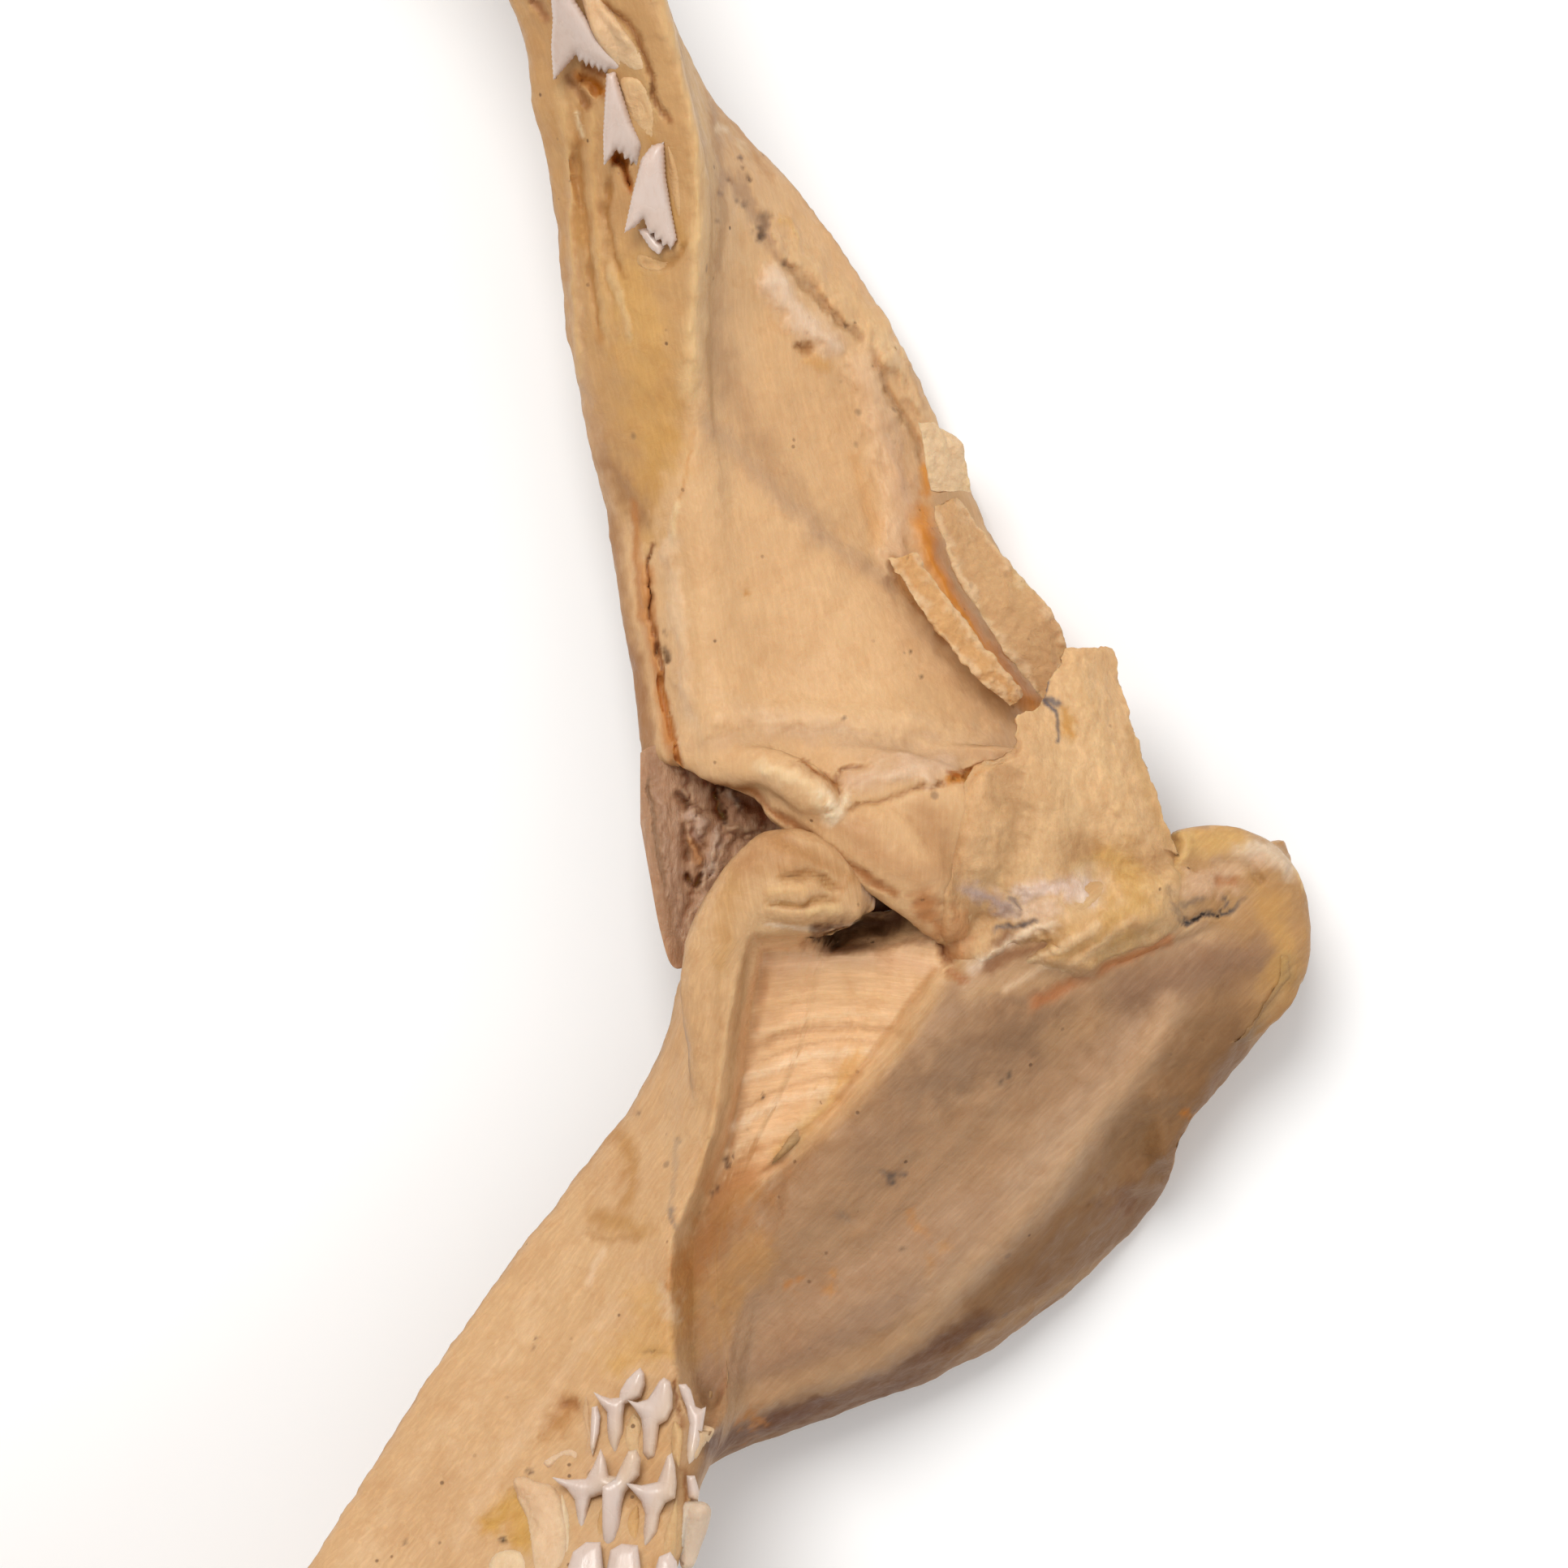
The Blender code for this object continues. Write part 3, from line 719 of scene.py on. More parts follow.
class Ground:
    """What lies under the places of the sheet."""

    def __init__(self, *meshes):
        points, faces = gathered(meshes)
        self.tree = BVHTree.FromPolygons(points, faces)
        self.corners = np.array([face[:3] for face in faces])
        tints = [read(mesh.attributes["tint"].data, "color", 4) for mesh in meshes]
        self.tints = np.concatenate(tints)[:, :3] / PIGMENT
        self.eye = Vector((EYE_X, 0, EYE_Z))

    def melt(self, s, weight):
        """Blends the tint of a surface into that of the nearest ground."""
        pick = np.where(weight > 0)[0]
        face = [self.tree.find_nearest(p)[2] for p in s.points[pick].tolist()]
        s.tint[pick] = mixed(s.tint[pick], self.tints[self.corners[face]].mean(1), weight[pick, None])

    def under(self, sheet, other=10.0):
        """Points of the surface under places of the sheet, or at the other height where it ends."""
        found = []
        for a, b in np.asarray(sheet, float).reshape(-1, 2):
            aim = Vector(from_sheet(a, b, 0.0)) - self.eye
            hit = self.tree.ray_cast(self.eye, aim)[0]
            found.append(hit if hit is not None and hit.z > other - 9 else from_sheet(a, b, other))
        return np.array([tuple(p) for p in found])


class Heap:
    """Points, faces and tints that are gathered into one mesh."""

    def __init__(self):
        self.points, self.faces, self.tints = [], [], []

    def add(self, points, faces, tints):
        base = len(self.points)
        self.points += [tuple(p) for p in points]
        self.faces += [tuple(base + v for v in face) for face in faces]
        self.tints += tints

    def mesh(self, name):
        mesh = bpy.data.meshes.new(name)
        mesh.from_pydata((np.array(self.points) * MM).tolist(), [], self.faces)
        s = Surface(mesh)
        s.tint = np.array(self.tints)
        s.store()
        return mesh


def along_sides(corners, count):
    """Even steps along the sides of an outline, as many on a side as count says for its length."""
    pairs = zip(corners, np.roll(corners, -1, 0))
    return np.concatenate([curve_through((p, q), count(math.dist(p, q)))[:-1] for p, q in pairs])


def pillow(heap, ground, outline, thick, root, tip, lifts, colours, saw=0.0, soft=0.9, step=2.6, lying=False):
    """A cushion-shaped solid with an outline drawn on the sheet, rising from its root to its tip."""
    edge = np.reshape(outline, (-1, 2)).astype(float)
    if saw:
        edge = along_sides(edge, lambda far: max(2, int(far / step)))
        along = unit(np.roll(edge, -1, 0) - np.roll(edge, 1, 0), TINY)
        teeth = np.where(np.arange(len(edge)) % 2 == 0, 0.5, -0.5)[:, None]
        edge = edge + np.stack((along[:, 1], -along[:, 0]), 1) * teeth * saw
    else:
        edge = closed_curves(edge[None], [6] * len(edge))[0]
    # Points in staggered rows fill the outline.
    a, b = np.meshgrid(*(np.arange(low, high, step) for low, high in zip(edge.min(0), edge.max(0))))
    a = a + (np.arange(len(a)) % 2 * 0.5 * step)[:, None]
    fill = np.stack((a.ravel(), b.ravel()), 1)
    fill = fill[inside(fill, edge, 0.8 * step) > 0.93]
    count = len(edge)
    spots = [Vector(p) for p in np.concatenate((edge, fill)).tolist()]
    ring = [(i, (i + 1) % count) for i in range(count)]
    spots, _, faces, *_ = geometry.delaunay_2d_cdt(spots, ring, [list(range(count))], 1, 1e-5)
    flat = np.array([tuple(p) for p in spots])
    deep = UNIT * near_path(flat, np.concatenate((edge, edge[:1])))[0] / soft
    plump = np.sqrt(np.clip(1 - (1 - np.clip(deep / thick, 0, 1)) ** 2, 0, 1))
    root, tip = np.array(root, float), np.array(tip, float)
    share = np.clip(((flat - root) @ (tip - root)) / ((tip - root) @ (tip - root)), 0, 1)
    ends = ground.under((root, tip))[:, 2] + np.array(lifts)
    height = mixed(ends[0], ends[1], share)
    if lying:
        height = np.maximum(ground.under(flat)[:, 2] + lifts[0], height - 0.7)
    thin = thick * (1 - 0.55 * share)
    rim = 0.12 * thick if saw else 0.06 * thick
    skins = (height + rim + thin * plump, height - rim - 0.6 * thin * plump)
    points = [from_sheet(a, b, z) for skin in skins for (a, b), z in zip(flat, skin)]
    n = len(flat)
    skin = []
    for face in faces:
        skin += [face, [n + i for i in reversed(face)]]
    links = [(p, q) for face in faces for p, q in zip(face, face[1:] + face[:1])]
    known = set(links)
    skin += [(q, p, n + p, n + q) for p, q in links if (q, p) not in known]
    tint = mixed(srgb(colours[0]), srgb(colours[1]), np.clip(share * 2.2, 0, 1)[:, None])
    heap.add(points, skin, tint.tolist() * 2)


# ---- finishes ----


class Nodes:
    """Short calls for the nodes of one material."""

    def __init__(self, name):
        self.material = bpy.data.materials.new(name)
        self.material.use_nodes = True
        self.tree = self.material.node_tree
        self.shader = self.tree.nodes["Principled BSDF"]

    def new(self, kind, **values):
        node = self.tree.nodes.new("ShaderNode" + kind)
        for key, value in values.items():
            setattr(node, key, value)
        return node

    def link(self, source, target):
        self.tree.links.new(source, target)

    def fill(self, node, keys, values):
        for key, value in zip(keys, values):
            node.inputs[key].default_value = value

    def attribute(self, name, output):
        return self.new("Attribute", attribute_name=name).outputs[output]

    def object_coordinates(self):
        return self.new("TexCoord").outputs["Object"]

    def noise(self, vector, scale, detail, rough, distortion=0.0):
        node = self.new("TexNoise")
        self.fill(node, ("Scale", "Detail", "Roughness", "Distortion"), (scale, detail, rough, distortion))
        self.link(vector, node.inputs["Vector"])
        return node.outputs["Fac"]

    def ramp(self, value, *limits):
        """Maps low to high of a value onto two others."""
        node = self.new("MapRange")
        node.clamp = True
        self.fill(node, ("From Min", "From Max", "To Min", "To Max"), limits)
        self.link(value, node.inputs["Value"])
        return node.outputs["Result"]

    def math(self, operation, a, b):
        node = self.new("Math", operation=operation)
        for socket, value in zip(node.inputs, (a, b)):
            if isinstance(value, (int, float)):
                socket.default_value = value
            else:
                self.link(value, socket)
        return node.outputs[0]

    def blend(self, factor, a, b, mode="MIX"):
        node = self.new("Mix", data_type="RGBA", blend_type=mode)
        for key, value in ((0, factor), (6, a), (7, b)):
            if isinstance(value, (int, float)):
                node.inputs[key].default_value = value
            elif isinstance(value, (tuple, list)):
                node.inputs[key].default_value = (*value[:3], 1)
            else:
                self.link(value, node.inputs[key])
        return node.outputs[2]

    def stained(self, colour, *stains):
        """Multiplies stains in: each by a value, the limits of its ramp and a colour."""
        for value, limits, stain in stains:
            colour = self.blend(self.ramp(value, *limits), colour, stain, "MULTIPLY")
        return colour

    def specks(self, vector, scale, size, share, seed):
        """Small scattered spots: 1 inside a spot."""
        cells = self.new("TexVoronoi", feature="F1")
        self.fill(cells, ("Scale", "Randomness"), (scale, 1.0))
        shift = self.new("VectorMath", operation="ADD")
        shift.inputs[1].default_value = (seed, seed * 0.7, -seed)
        self.link(vector, shift.inputs[0])
        self.link(shift.outputs[0], cells.inputs["Vector"])
        spot = self.ramp(cells.outputs["Distance"], size * 0.5, size, 1.0, 0.0)
        parts = self.new("SeparateColor")
        self.link(cells.outputs["Color"], parts.inputs[0])
        chosen = self.ramp(parts.outputs[0], share, share + 0.02, 1.0, 0.0)
        return self.math("MULTIPLY", spot, chosen)

    def bump(self, height, strength, distance, below=None):
        node = self.new("Bump")
        self.fill(node, ("Strength", "Distance"), (strength, distance))
        self.link(height, node.inputs["Height"])
        if below is not None:
            self.link(below, node.inputs["Normal"])
        return node.outputs["Normal"]

    def depth(self, weight, radius, scale, shine):
        """How far light goes in, and how much of it the surface throws back."""
        keys = ["Subsurface " + key for key in ("Weight", "Radius", "Scale")] + ["Specular IOR Level"]
        self.fill(self.shader, keys, (weight, radius, scale, shine))

    def finish(self, colour, roughness, normal):
        self.link(colour, self.shader.inputs["Base Color"])
        self.link(roughness, self.shader.inputs["Roughness"])
        self.link(normal, self.shader.inputs["Normal"])
        return self.material


def cartilage_finish(name, streak, mottle, rough=0.46, relief=1.0):
    """Dried cartilage: tinted, mottled, streaked along its fibres, with specks and fine pits."""
    found = bpy.data.materials.get(name)
    if found:
        return found
    n = Nodes(name)
    where = n.object_coordinates()
    tint = n.attribute("tint", "Color")
    grain = n.attribute("grain", "Vector")
    broad = n.noise(where, 95, 4, 0.6)
    middle = n.noise(where, 420, 5, 0.6, 0.6)
    fine = n.noise(where, 2100, 4, 0.6)
    fibre = n.noise(grain, 2.6, 5, 0.62, 0.35)
    thread = n.noise(grain, 9.0, 3, 0.6, 0.2)
    colour = n.stained(
        tint,
        (broad, (0.35, 0.68, 0.0, 0.42 * mottle), (0.56, 0.34, 0.14)),
        (middle, (0.5, 0.72, 0.0, 0.5 * mottle), (0.80, 0.60, 0.40)),
        (fibre, (0.42, 0.7, 0.0, 0.75 * streak), (0.70, 0.52, 0.33)),
        (fibre, (0.28, 0.48, streak, 0.0), (1.3, 1.26, 1.2)),
        (thread, (0.5, 0.75, 0.0, 0.30 * streak), (0.60, 0.46, 0.30)),
    )
    dots = n.specks(where, 620, 0.16, 0.10, 3.1)
    dabs = n.specks(where, 260, 0.15, 0.07, 7.7)
    dirt = n.noise(where, 60, 2, 0.5)
    dots = n.math("MULTIPLY", dots, n.ramp(dirt, 0.42, 0.58, 0.15, 1.0))
    colour = n.blend(n.math("MULTIPLY", dots, 0.75), colour, (0.10, 0.045, 0.02))
    colour = n.blend(n.math("MULTIPLY", dabs, 0.5), colour, (0.16, 0.09, 0.05))
    shine = n.ramp(middle, 0.3, 0.7, -0.08, 0.12)
    roughness = n.math("ADD", shine, n.ramp(fine, 0.3, 0.7, rough - 0.05, rough + 0.06))
    normal = n.bump(middle, 0.30 * relief, 0.0006)
    normal = n.bump(fibre, 0.7 * streak * relief, 0.0003, normal)
    normal = n.bump(thread, 0.5 * streak * relief, 0.00012, normal)
    normal = n.bump(fine, 0.30 * relief, 0.00012, normal)
    normal = n.bump(n.math("SUBTRACT", 1.0, dots), 0.5 * relief, 0.0002, normal)
    n.depth(0.18, (1.0, 0.45, 0.2), 0.0035, 0.22)
    return n.finish(colour, roughness, normal)


def enamel_finish(name, enamel):
    """Glossy enamel, milky at the tip and yellowed toward the root."""
    found = bpy.data.materials.get(name)
    if found:
        return found
    n = Nodes(name)
    where = n.object_coordinates()
    tint = n.attribute("tint", "Color")
    cloud = n.noise(where, 380, 3, 0.5)
    fine = n.noise(where, 2600, 3, 0.6)
    lines = n.noise(n.attribute("grain", "Vector"), 3.0, 3, 0.55)
    colour = n.stained(
        n.blend(0.22, tint, tuple(enamel)),
        (cloud, (0.4, 0.7, 0.0, 0.35), (0.86, 0.76, 0.66)),
        (lines, (0.5, 0.75, 0.0, 0.25), (0.82, 0.72, 0.64)),
    )
    normal = n.bump(fine, 0.10, 0.00008, n.bump(lines, 0.18, 0.0002))
    n.depth(0.25, (1.0, 0.7, 0.6), 0.002, 0.55)
    return n.finish(colour, n.ramp(cloud, 0.3, 0.7, 0.20, 0.34), normal)


# ---- the lower jaw ----

# Colour of the backs, which face down.
BACK = 0xBE9668


# The box in which the half is refined.
LOWER_BOX = ((36, -90, 4), (146, 22, 60))
# Rods that are fused with an arm: path as sheet points with a height, radii, flatness.
LOWER_RODS = (
    ((880,1330,26.4,876,1235,27,886,1166,27.2,922,1106,27.6,954,1070,28,990,1064,28.2,1030,1090,27.8,1062,1112,26),
     (2.4,3.1,3.4,3.7,3.7,3.5,2.8,1.5)),
    ((905,1195,25.6,932,1140,26.4,965,1112,27), (3.0,3.4,3.0)),
    ((940,1100,28.4,985,1104,29.0,1036,1118,28), (3.0,3.2,2.3)),
    ((962,1128,27,1000,1134,27,1024,1132,26.6), (1.9,2.1,1.6)),
    ((1530,1262,10,1560,1215,12,1574,1140,13.6,1556,1086,14.6,1515,1062,15,1462,1052,16),
     (2.0,3.2,3.5,3.6,3.6,2.8), 0.85),
    ((1500,1100,15,1540,1150,14,1530,1220,13), (4.5,5.5,4.0), 0.6),
    ((1185,1180,21,1240,1165,22,1320,1145,22.4,1400,1120,21.6,1470,1105,18.4), (2.4,3.8,4.4,4.4,3.6), 0.6),
)


def arm_surface(name, rows, rods, settings, box, tone):
    """An arm fused with its rods, finer inside a box, with its plain colours."""
    shells = [arm_shell(rows)] + [rod_shell(*rod) for rod in rods]
    s = Surface(refined(fused(name, shells, settings.voxel), *box))
    s.tint[:] = srgb(BACK)
    s.tint = mixed(s.tint, tone * np.array(settings.cartilage), s.up_mask(0.0, 0.5)[:, None])
    return s


TROUGH = (
    (932,1162), (1010,1164), (1060,1158), (1110,1150), (1160,1150), (1174,1190), (1100,1292), (1040,1372),
    (960,1436), (884,1500), (846,1560), (842,1530), (866,1470), (888,1400), (903,1310), (916,1230)
)
BESIDE_BAR = (
    (856,1490), (878,1456), (912,1430), (956,1440), (956,1490), (930,1550), (916,1640), (904,1706), (886,1742),
    (870,1752), (852,1722), (842,1680), (838,1600), (840,1530)
)
BESIDE_HEIGHTS = (
    (882,1470,22.6), (906,1460,22.2), (940,1456,21.8), (940,1490,21.6), (904,1490,22.2), (860,1515,22.6),
    (890,1515,22.2), (926,1520,21.8), (850,1540,22.8), (880,1540,22.6), (910,1545,21.8), (848,1570,23.2),
    (870,1570,23), (895,1570,22.8), (914,1580,21.4), (846,1610,23.6), (866,1610,23.2), (884,1610,23.6),
    (910,1610,21.6), (846,1650,24), (866,1650,24.4), (884,1650,23.6), (906,1650,21.3), (848,1680,25),
    (866,1680,24.8), (882,1680,23.8), (902,1690,21), (854,1715,25.6), (868,1715,25), (886,1715,22.8), (866,1740,25),
    (882,1740,22)
)
END_FIELD = (
    (1370,1180), (1500,1130), (1606,1150), (1612,1210), (1566,1268), (1516,1328), (1480,1385), (1450,1450),
    (1400,1450), (1390,1330)
)
END_HEIGHTS = (
    (1400,1200,20.2), (1440,1200,19.4), (1480,1186,18.6), (1540,1170,17.8), (1594,1180,16.6), (1586,1220,15.6),
    (1520,1226,17.0), (1460,1240,18.2), (1550,1262,15.2), (1480,1280,16.8), (1430,1280,18.4), (1508,1320,14.2),
    (1450,1330,16.2), (1410,1340,17.6), (1466,1380,13), (1420,1400,15), (1440,1440,12), (1404,1440,13.6)
)
TROUGH_FLOOR = (
    (950,1180,23), (1000,1178,22), (1060,1178,21.4), (1120,1180,22.4), (1150,1190,23.6), (936,1230,22.4),
    (980,1234,20.6), (1040,1240,20.2), (1100,1245,22.6), (925,1290,22.2), (966,1300,20.4), (1010,1310,20.8),
    (1060,1320,23.2), (913,1350,22.2), (950,1362,20.8), (1000,1372,22.4), (900,1410,22.2), (930,1415,21.6),
    (970,1414,23), (876,1465,22.6), (904,1472,22.4), (856,1512,23)
)
# Plain areas: outline, width of the soft border, colour, strength, raggedness.
LOWER_ZONES = (
    ((862,1830,846,1740,838,1600,852,1510,890,1484,960,1430,1100,1290,1165,1190,1440,1090,1640,1000,1660,1300,
    1430,1560,1000,1780), 26, 0xB08A66),
    (TROUGH, 10, 0xF0C494),
    # Darker brown over the lower right of the wing and its rim: painted shade.
    ((830,1840,870,1757,980,1718,1080,1682,1150,1626,1230,1536,1290,1480,1340,1400,1400,1316,1440,1240,1600,1180,
    1700,1300,1450,1560,1000,1800), 44, 0x8C6640),
    ((1440,1000,1620,1000,1640,1240,1560,1300,1520,1200,1440,1120), 30, 0xBE9464, 1.0, 6),
    ((1180,1130,1300,1090,1440,1040,1470,1150,1330,1200,1200,1220), 24, 0xD4AC7C, 0.9, 6),
)
# Each stroke: path, half width, lift in mm, colour, strength, raggedness, and a lowest height.
LOWER_TINTS = (
    ((1470,1170,1400,1290,1290,1430,1150,1580), 60, 0, 0xC4A07E, 0.8, 0.3),
    # The two darker strokes below lie on the plate right of the hollow's ridge, where it turns away from the light:
    # painted shade.
    ((1140,1340,1200,1290,1300,1270), 60, 0, 0x8C6A4C, 0.75, 0.5),
    ((1060,1440,1120,1370,1190,1300), 34, 0, 0x9C7C60, 0.5, 0.5),
    ((1300,1280,1400,1220,1500,1170), 40, 0, 0xBE966C, 0.6),
    # Darker brown in the hollow right of the pale crest: painted shade.
    ((1360,1450,1420,1340,1500,1230), 60, 0, 0x9C7650, 0.6, 0.2),
    ((1390,1226,1450,1204,1510,1184,1566,1184), 52, 0, 0x967256, 0.9, 0.2),
    ((900,1640,1040,1600,1180,1500), 70, 0, 0xBA9676, 0.6, 0.3),
    ((880,1700,1000,1660,1120,1600), 34, 0, 0xB08C70, 0.5, 0.3),
    ((842,1620,852,1560,884,1505,920,1470), 44, 0, 0xB67C3E, 0.85),
    ((870,1600,930,1540), 40, 0, 0xC49254, 0.6, 0.5),
    ((850,1670,890,1630,900,1600), 30, 0, 0xBC8A4C, 0.5, 0.5),
    ((1275,1236,1340,1200,1438,1158), 13, -0.4, 0xBE7642, 0.75, 0.3),
    ((1330,1160,1400,1120,1430,1080), 42, 0, 0xCEA05C),
    ((1190,1205,1260,1190,1330,1190), 28, 0, 0xBE9874, 0.7, 0.5),
    ((1200,1190,1260,1150,1290,1130), 12, 0.3, 0xE8CEB6),
    ((1300,1170,1360,1130), 10, 0.3, 0xECCCA0, 0.6),
    ((1240,1220,1300,1180,1340,1150), 8, 0.2, 0xE8CAA8, 0.6, 0.5),
    ((560,1900,640,1770,720,1660,790,1560), 18, 0, 0xE2BE96, 0.5, 0.5),
    ((430,1930,560,1740,700,1560,790,1420), 22, 0, 0xDEB88C, 0.5, 0.6),
    ((884,1180,884,1300,872,1400,846,1520), 8, -0.1, 0xC49866, 0.5, 0.5),
    ((902,1190,900,1290,884,1390), 7, 0.1, 0xDEB888, 0.4, 0.5),
    # Darker tan at the bar's right edge, where it drops to the trough: painted shade.
    ((920,1180,912,1260,898,1340,876,1430,852,1510), 9, 0, 0xB2885C, 0.6, 0.3),
)
LOWER_FORMS = (
    ((922,1160,908,1250,894,1330,878,1400,844,1470,829,1530,822,1590,820,1650), 22, 0.4, None, 0, 0),
    # Darker band in the trough beside the bar: painted shade cast by the bar.
    ((944,1180,930,1260,914,1330,898,1400,872,1460), 15, -0.2, 0xC48E5C, 0.7, 0.2),
    ((925,1292,1000,1268,1080,1268,1120,1275), 9, -0.25, 0xC49262, 0.6),
    ((930,1277,1010,1252,1090,1252), 7, 0.2, 0xF0CEA2, 0.5),
    ((918,1330,1000,1300,1080,1296), 10, 0.25, 0xF8D8B2),
    ((915,1316,1010,1284,1090,1284), 4, -0.15, 0xC89868, 0.4),
    ((905,1372,980,1335,1060,1325), 5, -0.15, 0xCC9A68, 0.5),
    ((905,1388,975,1352,1050,1340), 10, 0.2, 0xF8D8B2),
    ((896,1420,950,1394,1010,1384), 8, 0.15, 0xF0CEA4, 0.6),
    ((930,1246,1010,1226,1110,1232), 12, 0.2, 0xF0C694, 0.5),
    ((892,1446,940,1414,980,1402), 6, -0.1, 0xC8905A, 0.5),
    ((880,1476,920,1450,962,1432), 16, 0, 0xCE905A, 0.6),
    ((1060,1300,1010,1370,960,1420), 14, 0, 0xE2AA60, 0.6),
    ((950,1190,1010,1182,1090,1184,1140,1192), 22, 0.3, 0xECC098),
    ((990,1166,1060,1168,1140,1160), 9, 0, 0xB07E56, 0.6, 0.6),
    ((1168,1188,1100,1288,1040,1368,986,1412), 26, 0.6, 0xCEA676, 0.5, 0.2),
    ((1150,1196,1084,1286,1026,1362,986,1396), 7, -0.3, 0xCE965C, 0.6, 0.3),
    ((930,1420,896,1462,866,1500,852,1560), 26, 0, 0xC4884E, 0.6, 0.5),
    ((1330,1250,1230,1370,1080,1500,900,1640), 70, -1, None, 0, 0),
    ((1470,1250,1330,1400,1200,1530,980,1660), 60, 0.8, None, 0, 0),
    ((1240,1330,1160,1430,1040,1540), 22, 0.35, None, 0, 0),
    ((1440,1240,1400,1312,1340,1395,1290,1474,1230,1530,1150,1620,1080,1676,980,1712,870,1752), 30, 0.8, 0xCEA880,
    0.5, 0),
    # Dark brown band along the lower rim: painted shade.
    ((1210,1626,1110,1698,1000,1738,880,1778), 24, -0.4, 0x643A12, 0.85, 0.2),
    ((1400,1530,1330,1574,1250,1622,1150,1676,1000,1746,880,1800), 12, 0, 0xB0885A, 0.6),
    ((956,1040,1000,1052,1046,1084), 14, -0.5, 0xBA8852, 0.6, 0.3),
    ((962,1078,1000,1080,1036,1094), 9, -0.8, 0xB48046, 0.8, 0.5),
    ((946,1112,980,1116,1008,1108,1030,1108), 7, -0.7, 0xB8864C, 0.8, 0.5),
    ((930,1066,970,1056,1010,1066), 24, 0.2, 0xC0905E, 0.8),
    ((905,1080,893,1140,888,1180), 26, 0, 0xC4965E),
    ((950,1096,990,1096), 11, 0.4, 0xE2BA84, 0.6),
    ((912,1070,936,1040,966,1030), 20, 0, 0xBE8E60, 0.7, 0.3),
    ((1000,1122,1030,1120), 10, 0.3, 0xE6C48E),
    ((944,1140,1000,1146,1056,1136), 5, 0, 0xEED8BC, 0.7, 0.7),
    # Dark brown in the cleft under the knob: painted shade.
    ((1010,1150,1060,1140,1104,1126,1134,1116), 20, -1.6, 0x805636, 1, 0.5),
    ((1000,1152,1030,1158), 12, -1, 0x604028, 0.9, 0.6),
    ((1080,1106,1112,1104), 20, 0.4, 0xBAA090, 0.9, 0.6, 22),
    ((1098,1112,1104,1116), 6, -0.5, 0x4A382C, 0.9, 0.7, 22),
    ((1066,1092,1078,1098), 9, 0, 0x786860, 0.8, 0.6, 22),
    ((1164,1152,1166,1180), 12, -1, 0x965428, 0.95, 0.5),
    ((1172,1196,1190,1204), 11, -0.4, 0xB26C34, 0.7, 0.6),
    ((1431,1083,1447,1104,1448,1120,1464,1137,1490,1124), 4, -0.5, 0x544C4C, 0.9, 0.9),
    ((1464,1137,1490,1128,1510,1128,1530,1108), 4, -0.5, 0x58504E, 0.9, 0.9),
    ((1500,1124,1512,1114,1506,1104), 3, -0.3, 0x685C58, 0.8, 0.9),
    ((1462,1118,1480,1108), 8, 0, 0x6E5E54, 0.6, 0.9),
    ((1470,1090,1510,1085), 26, 0.2, 0xDEB896, 0.75, 0.6),
    ((1500,1086,1520,1082), 10, -0.4, 0xB87642, 0.7, 0.6),
    ((1500,1064,1550,1062), 20, 0, 0xE2C0A0, 0.7, 0.5),
    ((1462,1024,1480,1026,1500,1022), 9, 0.5, 0xDEB074, 0.6, 0.9),
    ((1216,1186,1250,1174,1290,1164), 18, 0, 0x926442, 0.9, 0.5),
    ((1524,1046,1566,1050,1590,1074), 18, 0.5, 0xE2CCB2, 0.85, 0.5),
    ((1450,1036,1480,1040,1520,1036), 24, 0, 0xDAB06C, 0.75, 0.5),
    ((1560,1110,1580,1150,1570,1200), 30, 0, 0xD4A460),
    ((1450,1016,1462,1040,1448,1066), 12, 0.8, 0xE2BE80, 0.5, 0.5),
    ((1490,1066,1530,1064,1560,1090), 12, -0.6, 0xBE925C, 0.5, 0.5),
    ((1596,1060,1606,1090), 9, 0.6, 0xE6CAA0, 0.7, 0.7),
    ((1600,1190,1580,1250,1550,1290), 14, 0.3, 0xB0844C, 0.6),
    ((760,1682,800,1668,822,1664), 18, 0, 0xCC9C56, 0.6, 0.6),
    ((790,1668,822,1664), 3, -0.3, 0x96704A, 0.8, 0.5),
    ((700,1735,680,1760), 24, -0.6, 0xBE884E, 0.8, 0.5),
    ((694,1730,712,1734), 12, -0.5, 0xAC703E, 0.7, 0.5),
    ((604,1880,634,1850,644,1900), 26, -0.8, 0xD0A054, 0.95),
    ((620,1898,621,1898), 6, -0.5, 0x422C1A, 1, 0.5),
    ((650,1812,658,1815), 4, 0, 0x6E5038, 0.8, 0.9),
    ((760,1740,800,1790,790,1850,810,1930), 42, -0.4, 0xD4A672, 0.8),
    ((831,1700,834,1730,838,1760), 4, -0.6, 0xA06A3A, 0.9, 0.5),
    ((842,1812,846,1850), 4, -0.6, 0xA06A3A, 0.9, 0.5),
    ((735,1500,790,1512), 22, 0, 0xBE8E52, 0.8),
    ((762,1400,778,1440,770,1480), 20, 0, 0xBC8A4E, 0.8),
    ((724,1520,756,1526,785,1520), 8, 0, 0xB68650, 0.6, 0.8),
    ((832,1405,830,1450,828,1508), 5, 0, 0x968676, 0.35, 0.9),
    ((829,1490,829,1512), 4, 0, 0x6E6460, 0.5, 0.9),
    ((790,1600,810,1640,760,1670), 44, 0, 0xD6A868, 0.6, 0.5),
    ((742,1542,726,1580), 9, 0.2, 0xE8C8A6, 0.6, 0.6),
)
# Painted shade: dark brown on the lower rim, drawn on its steep side too.
PAINTED_RIM_SHADE = (
    ((1180,1652,1090,1706,1000,1742,920,1772,884,1790), 22, 0, 0x70441A, 0.75, 0.2),
    ((1010,1728,940,1756), 14, 0, 0x68380C),
)
